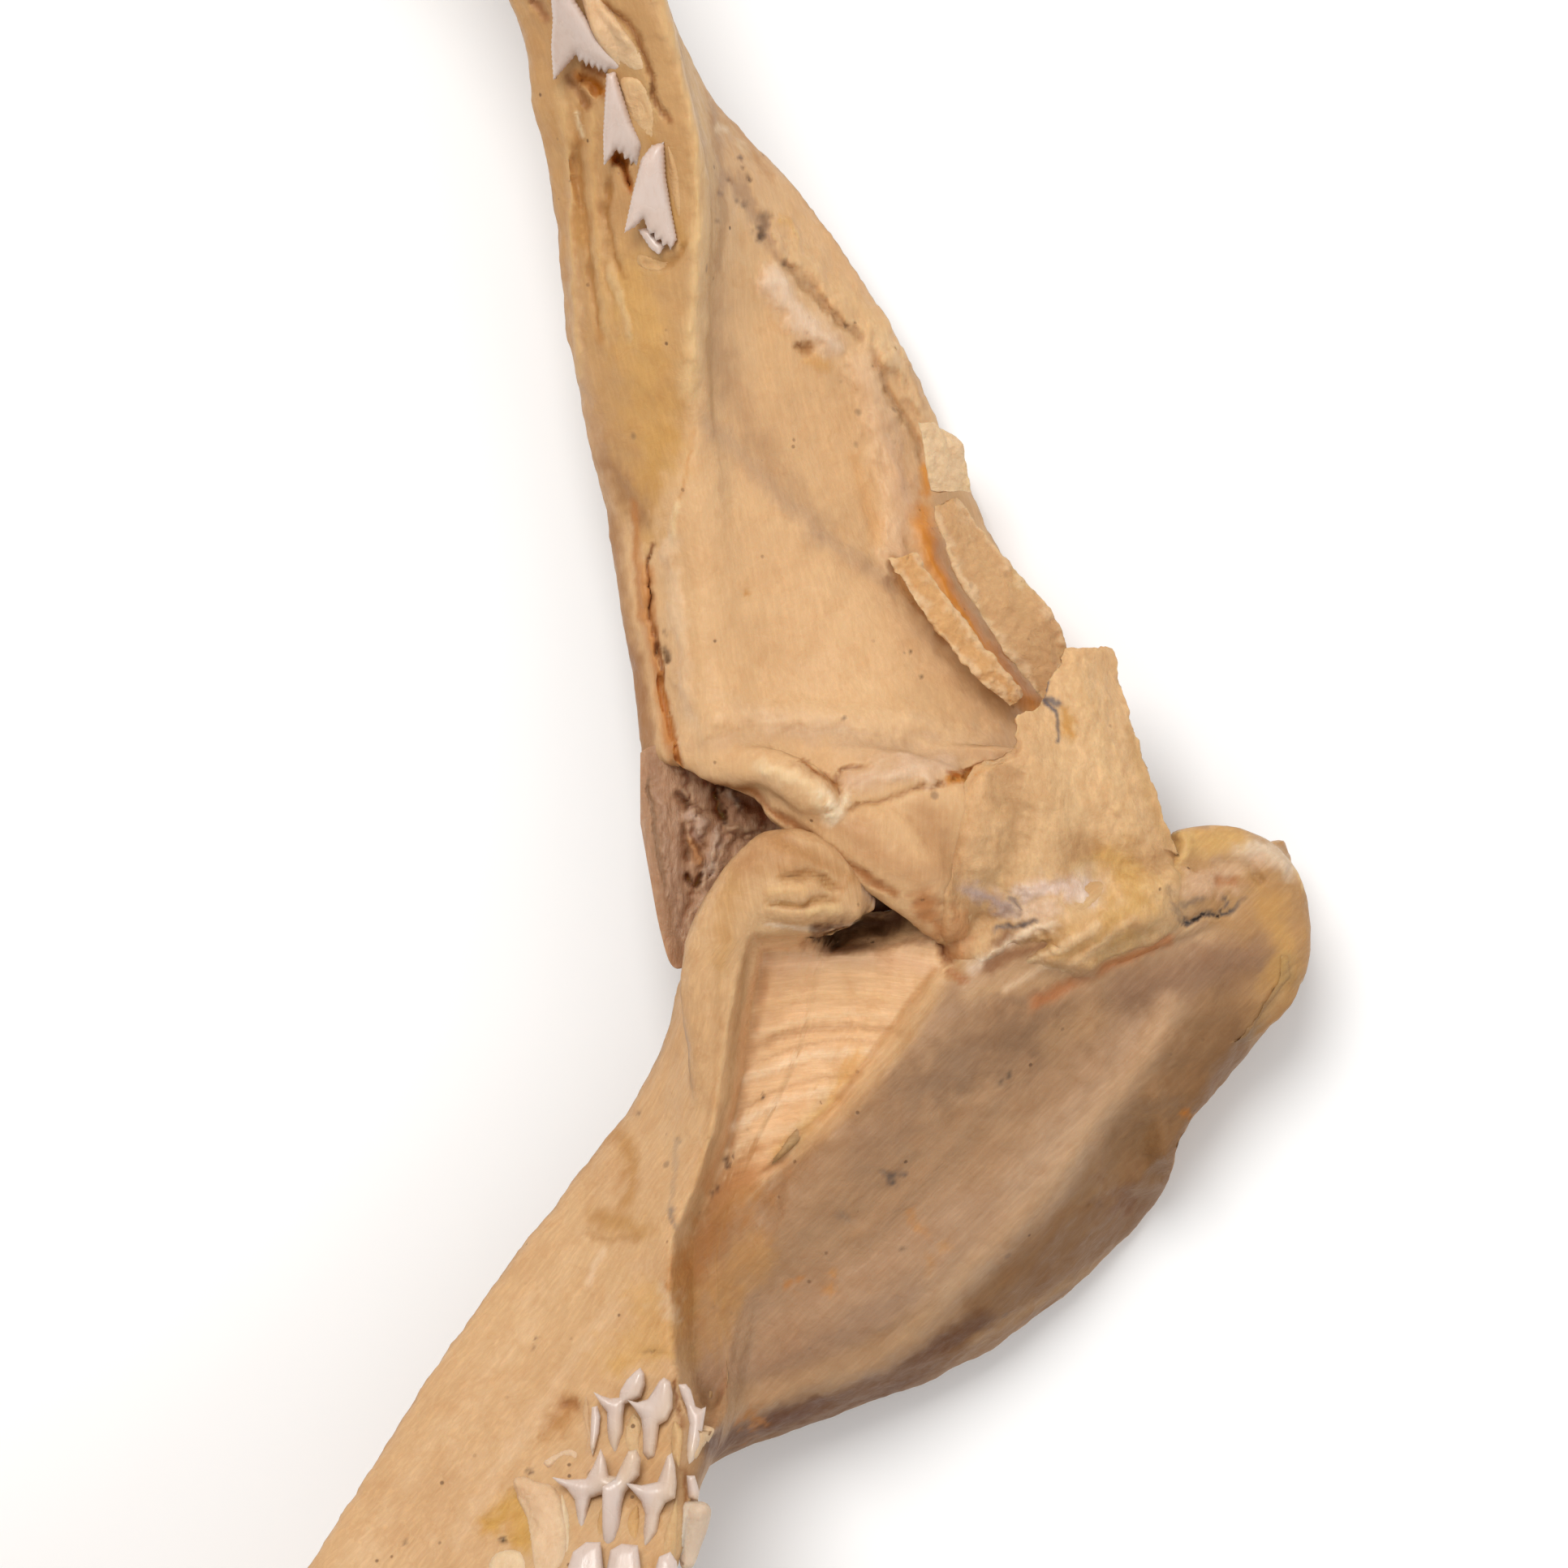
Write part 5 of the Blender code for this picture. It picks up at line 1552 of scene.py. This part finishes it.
def symphysis_mesh(rows, name):
    """The tough pad between the two halves of a jaw, swollen along its middle."""
    station = smooth(rows, 0.0)
    outline = closed_curves(sections(station), [max(3, c // 2) for c in SEGMENTS])[0]
    middle = outline.mean(0)
    rings = []
    reach = SYMPHYSIS_HALF + PAD_OVERLAP
    for x in np.linspace(-reach, reach, 13):
        swell = 1 + 0.035 * math.cos(x / SYMPHYSIS_HALF * math.pi / 2)
        shape = middle + (outline - middle) * swell
        heading = math.radians(station[0, 2])
        y = station[0, 1] + math.sin(heading) * shape[:, 0] - CENTRE_Y
        rings.append(np.stack((np.full(len(shape), x), y, shape[:, 1] - SINK), 1))
    s = Surface(faced_out(plain_mesh(name, *tube_faces(np.array(rings)))))
    s.roughen(2.0, 0.25, 3, 31.0)
    s.write()
    s.tint[:] = srgb(BACK)
    s.store()
    return s.mesh


# ---- teeth ----

ENAMEL = 0xD6C2B6
ROOT = 0xD6B692
# Where the files begin and end along the arm, and how many of them are drawn at the corner instead.
FIRST_FILE = 0.24
UPPER_FAR = 2.72
LOWER_FAR = 2.98
UPPER_CORNER_FILES = 3
LOWER_CORNER_FILES = 2
# Where the two upper rows stand across the tooth-bearing face.
FRONT_ROW = 0.80
BACK_ROW = 0.42

# Outlines of a tooth, as shares of its width and height.
UPPER_EDGE = (
    (-0.5,-0.22), (-0.52,0.06), (-0.5,0.2), (-0.36,0.27), (-0.18,0.33), (-0.07,0.36), (0.0,0.5), (0.1,0.68),
    (0.22,0.88), (0.31,1.0), (0.36,0.82), (0.4,0.5), (0.45,0.22), (0.5,0.0), (0.5,-0.22), (0.25,-0.3), (0.0,-0.24),
    (-0.25,-0.3)
)
LOWER_EDGE = (
    (-0.5,0.06), (-0.4,0.17), (-0.24,0.24), (-0.13,0.34), (-0.07,0.55), (-0.02,0.8), (0.03,1.0), (0.07,0.8),
    (0.1,0.55), (0.15,0.34), (0.26,0.24), (0.42,0.17), (0.5,0.06), (0.48,-0.1), (0.34,-0.24), (0.14,-0.16),
    (0.0,-0.1), (-0.14,-0.16), (-0.34,-0.24), (-0.48,-0.1)
)


def tooth_shell(outline, wide, high, thick, serrated):
    """A tooth with its base across X and its tip along Z: points, faces and height shares."""
    edge = along_sides(np.array(outline, float), lambda far: 7)
    if serrated:
        saw = np.where(np.arange(len(edge)) % 2 == 0, 1.0, -1.0)
        blade = climb(edge[:, 1], 0.1, 0.1) * climb(-edge[:, 1], -0.97, 0.1)
        edge = edge + unit(edge - np.array((0.05, 0.25))) * (saw * blade * 0.011)[:, None]
    middle = np.array((0.04, 0.18))
    spine = np.stack((0.04 + 0.2 * np.clip(edge[:, 1], 0, 1), edge[:, 1]), 1)
    centre = np.where(edge[:, 1:] > 0.25, spine, middle)
    rows = [mixed(centre, edge, share) for share in (1.0, 0.93, 0.8, 0.6, 0.38, 0.18)]
    n = len(edge)
    points = []
    for sign in (1, -1):
        for k, row in enumerate(rows):
            bulge = math.sqrt(max(0.0, 1 - (1 - k / 5.5) ** 2)) if k else 0.0
            up = np.clip(row[:, 1], 0, 1)
            depth = sign * 0.5 * thick * (0.12 + 0.88 * bulge) * (1 - 0.78 * up) - 0.10 * high * up**2
            points.append(np.stack((row[:, 0] * wide, depth, row[:, 1] * high), 1))
    points = np.concatenate(points)
    half = len(rows) * n
    faces = []
    for base in (0, half):
        side = quads(len(rows), n, True, base) + [tuple(range(base + half - n, base + half))]
        faces += [tuple(reversed(face)) for face in side] if base else side
    faces += [((i + 1) % n, i, half + i, half + (i + 1) % n) for i in range(n)]
    return points, faces, points[:, 2] / high


def files_along(rows, count, reach):
    """Values of t at equal steps along the arm, from the first file to reach."""
    walk = np.linspace(FIRST_FILE, reach, 90)
    mark = strip_marks(smooth(rows, walk))
    return np.interp(np.linspace(0, mark[-1], count), mark, walk)


def strip_place(rows, t, share):
    """A point of the tooth-bearing face, with the ways out, down the arm and up from the face."""
    here = smooth(rows, [t, min(t + 0.08, len(rows) - 1), max(t - 0.08, 0)])
    curves = in_space(here, closed_curves(sections(here), SEGMENTS))
    count = sum(SEGMENTS[:3])
    at = share * count
    i = int(min(at, count - 1))
    spot = [mixed(c[i], c[i + 1], at - i) for c in curves]
    out = unit(curves[0][i + 1] - curves[0][i])
    down = unit(spot[1] - spot[2])
    up = unit(np.cross(down, out))
    return spot[0], out, down, -up if up[2] < 0 else up


def set_tooth(heap, shell, spot, across, tip, scale):
    """Stands a tooth at spot: its base runs across and its tip points along tip."""
    points, faces, heights = shell
    tip = unit(tip)
    across = unit(across - tip * (across @ tip))
    points = spot + scale * (points @ np.array((across, -np.cross(across, tip), tip)))
    mix = climb(heights, -0.1, 0.55)[:, None]
    heap.add(points.tolist(), faces, mixed(srgb(ROOT), srgb(ENAMEL), mix).tolist())


def turned(one, other, degrees):
    """A way turned from one to the other."""
    angle = math.radians(degrees)
    return one * math.cos(angle) + other * math.sin(angle)


def upper_teeth_mesh(settings, ground):
    rows = upper_rows()
    shell = tooth_shell(UPPER_EDGE, settings.upper_width / MM, settings.upper_height / MM, 2.3, True)
    heap = Heap()
    for k, t in enumerate(files_along(rows, settings.upper_files - UPPER_CORNER_FILES, UPPER_FAR)):
        grown = 0.8 + 0.2 * math.sin(math.pi * min(1, k / 6) / 2)
        spot, out, down, up = strip_place(rows, t, FRONT_ROW)
        set_tooth(heap, shell, spot + up * 0.9, down, turned(turned(-out, up, 18), down, 12), grown)
        if k % 2 == 0:
            spot, out, down, up = strip_place(rows, t, BACK_ROW)
            set_tooth(heap, shell, spot + up * 0.6, down, -out * 0.98 + up * 0.14, 0.68 * grown)
    for outline, root, tip, lifts, thick in UPPER_CORNER_TEETH:
        pillow(heap, ground, outline, thick, root, tip, lifts, (0xDEC8BC, ENAMEL), 0.9)
    return heap.mesh("upper_teeth")


# Teeth beside the corner of the mouth: outline on the sheet, root, tip, heights there, thickness.
UPPER_CORNER_TEETH = (
    ((676,-34,700,-40,708,0,724,25,737,48,753,64,772,80,768,90,756,91,750,86,746,91,741,84,738,88,733,80,730,85,726,
    77,722,82,718,73,714,77,710,67,697,82,682,99,679,58,681,25), (730,-10), (683,98), (0.5,2.4), 1.5),
    ((747,91,758,88,768,120,779,153,793,178,788,200,784,207,781,199,777,203,775,194,770,197,767,187,763,190,760,184,
    753,194,744,204,743,166,745,124), (760,95), (745,200), (0.4,2.2), 1.3),
    ((803,179,818,175,820,216,826,253,834,295,826,308,822,300,817,304,814,294,808,297,806,287,800,288,793,269,782,280,
    769,287,779,240,790,196), (812,182), (796,290), (0.4,2), 1.3),
    ((786,283,800,280,819,304,812,314,801,306), (792,282), (812,312), (0.5,1), 0.8),
)
# Gum round them: the same measures, then a colour.
UPPER_CORNER_GUM = (
    ((716,-20,748,6,776,44,797,72,796,88,782,92,766,84,744,62,728,36), (756,30), (770,70), 1.1, 0xE6C096),
    ((764,96,786,96,800,116,810,150,812,172,800,178,788,166,774,134), (780,100), (796,160), 1, 0xE2B888),
    ((822,176,834,200,842,250,846,296,836,304,830,268,824,226), (826,190), (840,290), 0.8, 0xDCB07E),
    ((786,312,816,318,842,300,850,306,836,326,808,336,784,326), (800,320), (830,316), 0.7, 0xD8AA76),
)


# Each tooth of a lower file: millimetres in from the ridge, tilt in degrees, scale.
LOWER_SETS = ((1.2, 4, 1.0), (5.4, 46, 1.0), (9.4, 70, 0.95), (13.0, 82, 0.8))


def lower_teeth_mesh(settings, ground):
    rows = lower_rows()
    shell = tooth_shell(LOWER_EDGE, settings.lower_width / MM, settings.lower_height / MM, 2.4, False)
    heap = Heap()
    for k, t in enumerate(files_along(rows, settings.lower_files - LOWER_CORNER_FILES, LOWER_FAR)):
        grown = 0.86 + 0.14 * math.sin(math.pi * min(1, k / 5) / 2)
        strip = smooth(rows, t)[0, 3]
        for row, (inward, tilt, scale) in enumerate(LOWER_SETS):
            spot, out, down, up = strip_place(rows, t, 1 - inward / strip)
            flat = np.array((out[0], out[1], 0)) / math.hypot(out[0], out[1])
            spot = spot + up * (1.1 - 0.2 * row) + down * 0.4 * math.sin(3.1 * k + 1.7 * row)
            set_tooth(heap, shell, spot, down, turned(np.array((0, 0, 1.0)), -flat, tilt), scale * grown)
    for outline, root, tip, lifts, thick in LOWER_CORNER_TEETH:
        pillow(heap, ground, outline, 0.7 * thick, root, tip, lifts, (0xD8BCA0, ENAMEL), 0.01, 1.2)
    return heap.mesh("lower_teeth")


LOWER_CORNER_TEETH = (
    ((731,1715,742,1720,752,1723,763,1722,764,1714,772,1700,782,1690,789,1685,794,1692,795,1706,790,1722,780,1727,770,
    1730,768,1745,768,1765,764,1785,762,1802,754,1796,750,1778,748,1758,748,1740,740,1730), (778,1745), (733,1716),
    (0.5,1.8), 1.4),
    ((729,1734,736,1732,740,1745,738,1765,733,1785,730,1794,727,1780,728,1755), (734,1786), (733,1738),
    (0.4,0.8), 0.8),
    ((773,1725,785,1728,798,1724,806,1712,812,1702,818,1697,826,1702,829,1716,829,1735,822,1750,812,1756,810,1775,808,
    1796,798,1800,792,1790,792,1765,790,1748,782,1736), (822,1745), (775,1726), (0.5,1.8), 1.5),
    ((845,1705,851,1712,857,1733,864,1736,870,1733,867,1752,864,1775,858,1798,850,1813,843,1806,846,1780,849,1755,846,
    1735,838,1715,836,1706), (838,1790), (836,1730), (-0.4,0.6), 1.4),
    ((680,1820,700,1823,722,1822,731,1806,740,1785,746,1798,750,1818,766,1820,770,1834,756,1840,740,1842,728,1846,724,
    1862,722,1884,716,1900,709,1892,711,1868,708,1848,698,1834,688,1828), (752,1838), (682,1821), (0.5,1.9), 1.5),
    ((742,1832,758,1822,766,1804,774,1788,784,1786,790,1798,788,1818,778,1830,770,1840,766,1856,764,1880,758,1902,750,
    1916,744,1906,742,1880,742,1856), (772,1842), (748,1846), (0.6,1.6), 1.5),
    ((770,1827,790,1830,810,1826,817,1808,822,1794,828,1790,832,1806,834,1828,832,1846,820,1852,813,1866,810,1888,800,
    1905,793,1922,787,1914,792,1892,795,1866,790,1850,780,1838), (824,1845), (771,1827), (0.6,2), 1.6),
    ((846,1818,856,1818,862,1838,860,1850,848,1846), (846,1846), (846,1824), (-0.2,0.4), 1.2),
    ((698,1936,706,1912,722,1900,740,1900,746,1950,706,1956), (736,1950), (712,1906), (0.5,1.4), 1.4),
    ((747,1936,752,1910,766,1902,786,1904,792,1950,754,1956), (780,1950), (760,1904), (0.5,1.4), 1.4),
    ((805,1940,812,1918,826,1912,834,1924,836,1956,808,1960), (808,1946), (812,1918), (1.1,1.5), 1.4),
)
LOWER_CORNER_GUM = (
    ((842,1852,858,1850,870,1852,876,1860,873,1880,864,1905,852,1932,840,1932,838,1900,840,1870), (838,1866),
    (838,1915), 1.5, 0xDCC8B2),
    ((865,1756,872,1757,880,1761,876,1772,868,1784,862,1795,856,1800,850,1790,856,1770), (846,1790),
    (846,1760), 1, 0xDEBA94),
    ((780,1740,792,1752,790,1780,796,1800,786,1806,772,1790,768,1764), (780,1750), (784,1800), 0.9, 0xDEB88A),
    ((830,1750,842,1760,840,1800,836,1830,838,1880,834,1932,820,1940,814,1900,826,1860,836,1820,826,1790),
    (832,1760), (830,1930), 1.1, 0xD8B080),
    ((722,1716,716,1740,720,1770,712,1800,722,1814,732,1800,740,1780,730,1760,728,1734), (722,1720),
    (722,1806), 0.8, 0xDEB48A),
    ((668,1802,684,1790,702,1782,716,1784,718,1796,708,1812,700,1818,704,1800,694,1796,676,1810), (672,1804),
    (712,1800), 1, 0xE8C29E),
    ((632,1822,646,1818,660,1824,682,1830,694,1850,700,1880,694,1932,660,1944,652,1900,648,1870,636,1844),
    (650,1830), (680,1930), 1.2, 0xE6C29C),
    ((692,1838,700,1856,704,1884,700,1924,692,1930,694,1896,688,1860), (694,1842), (698,1926), 1, 0xEECEA6),
    ((736,1866,744,1852,748,1890,740,1906,732,1896), (740,1860), (738,1900), 0.8, 0xD8AA74),
    ((772,1870,786,1852,790,1884,786,1910,774,1900), (780,1858), (780,1906), 0.8, 0xD6A66E),
    ((600,1930,612,1912,640,1910,650,1930,640,1960,604,1960), (620,1916), (630,1950), 1, 0xECCEA8),
)


def corner_gum_mesh(ground):
    heap = Heap()
    for outline, root, tip, thick, colour in UPPER_CORNER_GUM + LOWER_CORNER_GUM:
        colours = (colour, colour)
        pillow(heap, ground, outline, 0.8 * thick, root, tip, (-0.4, -0.4), colours, 0.0, 1.1, 2.2, True)
    return heap.mesh("corner_gum")


# Steps from which the skin over the gum ridges is made, the ridges' half width and their steps.
GUM_STEP = 0.55
GUM_HALF = 1.25
GUM_RINGS = 14


def gum_mesh(rows, name, count, far, shares, seed):
    """Shrunken gum between the files: ragged low ridges across the strip."""
    shells = []
    marks = files_along(rows, count, far)
    for t in (marks[1:] + marks[:-1]) / 2:
        places = [strip_place(rows, t, share) for share in np.linspace(*shares, 4)]
        shells.append(gum_ridge([spot + up * 0.1 for spot, _, _, up in places]))
    s = Surface(fused(name, shells, GUM_STEP * MM, 2))
    s.roughen(1.6, 0.5, 3, seed)
    s.roughen(0.7, 0.16, 2, seed + 3)
    s.write()
    s.tint[:] = srgb(0xDCB684)
    lumps = np.clip(grain_noise(s.points, 1.8, 2, seed + 9) + 0.4, 0, 1)[:, None]
    s.tint = mixed(s.tint, srgb(0xC49256), 0.6 * lumps)
    s.store()
    return s.mesh


def gum_ridge(path):
    """A rounded ridge along a path, low at both ends."""
    run = curve_through(path, GUM_RINGS)
    forward = unit(run[-1] - run[0])
    side = unit(np.cross(forward, (0, 0, 1.0)))
    turn = turns(12)
    ring = np.cos(turn) * side + 0.75 * np.sin(turn) * np.cross(side, forward)
    shares = np.linspace(-1, 1, GUM_RINGS)
    sizes = GUM_HALF * np.sqrt(np.maximum(0.04, 1 - shares**4))
    return tube_faces(run[:, None] + sizes[:, None, None] * ring)


# ---- operators ----


class JawOperator:
    bl_options = {"REGISTER", "UNDO"}


class JAW_OT_lower(JawOperator, bpy.types.Operator):
    """Build the two halves of the lower jaw"""

    bl_idname = "jaw.lower"
    bl_label = "Lower Jaw"

    def execute(self, context):
        settings = context.scene.jaw_shape
        finish = cartilage_finish("lower_cartilage", streak=0.34, mottle=0.5)
        pair("lower_bone", build_lower(settings), "cartilage", finish, "lower_jaw")
        return {"FINISHED"}


class JAW_OT_upper(JawOperator, bpy.types.Operator):
    """Build the two halves of the upper jaw"""

    bl_idname = "jaw.upper"
    bl_label = "Upper Jaw"

    def execute(self, context):
        settings = context.scene.jaw_shape
        finish = cartilage_finish("upper_cartilage", streak=0.22, mottle=0.45)
        pair("upper_bone", build_upper(settings), "cartilage", finish, "upper_jaw")
        return {"FINISHED"}


class JAW_OT_margins(JawOperator, bpy.types.Operator):
    """Build the loose strips of dried skin along the rim of the upper jaw"""

    bl_idname = "jaw.margins"
    bl_label = "Torn Margins"

    def execute(self, context):
        finish = cartilage_finish("torn_cartilage", streak=0.3, mottle=0.35, rough=0.6, relief=1.8)
        for name, mesh in strip_meshes():
            pair(name, mesh, "cartilage", finish)
        return {"FINISHED"}


class JAW_OT_ligaments(JawOperator, bpy.types.Operator):
    """Build the pale sheets of dried ligament over the joints"""

    bl_idname = "jaw.ligaments"
    bl_label = "Joint Ligaments"

    def execute(self, context):
        finish = cartilage_finish("dried_ligament", streak=0.45, mottle=0.45, rough=0.56, relief=1.3)
        ground = ground_of("upper_bone_left", "lower_bone_left")
        pair("ligament", ligament_mesh(ground), "ligament", finish, "joint_ligament")
        return {"FINISHED"}


class JAW_OT_corners(JawOperator, bpy.types.Operator):
    """Build the dried skin across the corners of the mouth"""

    bl_idname = "jaw.corners"
    bl_label = "Mouth Corners"

    def execute(self, context):
        finish = cartilage_finish("corner_skin", streak=0.5, mottle=0.6, rough=0.36, relief=1.6)
        pair("corner", web_mesh(), "dried_skin", finish, "mouth_corner")
        return {"FINISHED"}


class JAW_OT_symphyses(JawOperator, bpy.types.Operator):
    """Build the pads between the halves of each jaw"""

    bl_idname = "jaw.symphyses"
    bl_label = "Symphyses"

    def execute(self, context):
        finish = cartilage_finish("symphysis_tissue", streak=0.4, mottle=0.6, rough=0.6, relief=1.5)
        for jaw, rows in (("upper", upper_rows()), ("lower", lower_rows())):
            mesh = symphysis_mesh(rows, jaw + "_pad")
            placed(jaw + "_pad", mesh, "symphysis", finish, jaw + "_symphysis")
        return {"FINISHED"}


class JAW_OT_teeth(JawOperator, bpy.types.Operator):
    """Build the files of teeth and the gum between them"""

    bl_idname = "jaw.teeth"
    bl_label = "Teeth"

    def execute(self, context):
        settings = context.scene.jaw_teeth
        ground = ground_of("upper_bone_left", "lower_bone_left")
        finish = enamel_finish("enamel", settings.enamel)
        pair("upper_teeth", upper_teeth_mesh(settings, ground), "teeth", finish)
        pair("lower_teeth", lower_teeth_mesh(settings, ground), "teeth", finish)
        gum = cartilage_finish("dried_gum", streak=0.2, mottle=0.6, rough=0.5, relief=1.8)
        files = settings.upper_files - UPPER_CORNER_FILES
        upper = gum_mesh(upper_rows(), "upper_gum", files, UPPER_FAR, (0.45, 0.95), 41.0)
        files = settings.lower_files - LOWER_CORNER_FILES
        lower = gum_mesh(lower_rows(), "lower_gum", files, LOWER_FAR, (0.55, 0.97), 47.0)
        for name, mesh in (("upper_gum", upper), ("lower_gum", lower), ("corner_gum", corner_gum_mesh(ground))):
            pair(name, mesh, "dried_skin", gum)
        return {"FINISHED"}


# Where the lights aim, in metres, and the brightness of the even light around.
LIGHT_AIM = (0.05, 0, 0.02)
SKY_STRENGTH = 0.62


def area_light(name, place, size, power, colour):
    light = bpy.data.lights.new(name, "AREA")
    light.shape = "DISK"
    light.size = size
    light.energy = power
    light.color = colour
    obj = shown(name, light)
    obj.location = place
    obj.rotation_euler = (Vector(LIGHT_AIM) - Vector(place)).to_track_quat("-Z", "Y").to_euler()


class JAW_OT_stage(JawOperator, bpy.types.Operator):
    """Set out the floor, the lights and the camera"""

    bl_idname = "jaw.stage"
    bl_label = "Stage"

    def execute(self, context):
        settings = context.scene.jaw_stage
        floor = bpy.data.meshes.new("floor")
        floor.from_pydata([(-3, -3, 0), (3, -3, 0), (3, 3, 0), (-3, 3, 0)], [], [(0, 1, 2, 3)])
        n = Nodes("floor_paint")
        grain = n.noise(n.object_coordinates(), 40, 3, 0.5)
        shade = n.blend(n.ramp(grain, 0.3, 0.7, 0.0, 0.03), tuple(settings.floor), (0.85, 0.85, 0.85), "MULTIPLY")
        floor.materials.append(n.finish(shade, n.ramp(grain, 0.3, 0.7, 0.75, 0.85), n.bump(grain, 0.02, 0.001)))
        obj = shown("floor", floor)
        area_light("key", (-0.12, 0.5, 0.95), 0.6, settings.key_power, (1.0, 0.985, 0.96))
        area_light("fill", (0.9, -0.5, 0.8), 0.9, settings.fill_power, (0.97, 0.98, 1.0))
        world = bpy.data.worlds.new("studio")
        world.use_nodes = True
        inputs = world.node_tree.nodes["Background"].inputs
        inputs["Color"].default_value = (1, 1, 1, 1)
        inputs["Strength"].default_value = SKY_STRENGTH
        context.scene.world = world
        context.scene.view_settings.view_transform = "Standard"
        camera = bpy.data.cameras.new("camera")
        camera.sensor_width = SENSOR_WIDTH
        camera.lens = SENSOR_WIDTH * EYE_DROP / FRAME_WIDTH
        camera.clip_start = 0.01
        eye = shown("camera", camera)
        eye.location = (EYE_X * MM, 0.0, EYE_Z * MM)
        context.scene.camera = eye
        return {"FINISHED"}


class JAW_PT_panel(bpy.types.Panel):
    bl_label = "Dried Shark Jaw"
    bl_space_type = "VIEW_3D"
    bl_region_type = "UI"
    bl_category = "Jaw"

    def draw(self, context):
        layout = self.layout
        for group in ("jaw_shape", "jaw_teeth", "jaw_stage"):
            settings = getattr(context.scene, group)
            box = layout.box()
            for name in settings.bl_rna.properties.keys():
                if name not in ("rna_type", "name"):
                    box.prop(settings, name)
        for step in STEPS:
            layout.operator(step.bl_idname)


STEPS = (
    JAW_OT_lower,
    JAW_OT_upper,
    JAW_OT_margins,
    JAW_OT_ligaments,
    JAW_OT_corners,
    JAW_OT_symphyses,
    JAW_OT_teeth,
    JAW_OT_stage,
)
CLASSES = (JawSettings, ToothSettings, StageSettings) + STEPS + (JAW_PT_panel,)


def register():
    for cls in CLASSES:
        bpy.utils.register_class(cls)
    bpy.types.Scene.jaw_shape = PointerProperty(type=JawSettings)
    bpy.types.Scene.jaw_teeth = PointerProperty(type=ToothSettings)
    bpy.types.Scene.jaw_stage = PointerProperty(type=StageSettings)


def unregister():
    del bpy.types.Scene.jaw_stage
    del bpy.types.Scene.jaw_teeth
    del bpy.types.Scene.jaw_shape
    for cls in reversed(CLASSES):
        bpy.utils.unregister_class(cls)


def main():
    register()
    for step in STEPS:
        group, name = step.bl_idname.split(".")
        getattr(getattr(bpy.ops, group), name)()


if __name__ == "__main__":
    main()
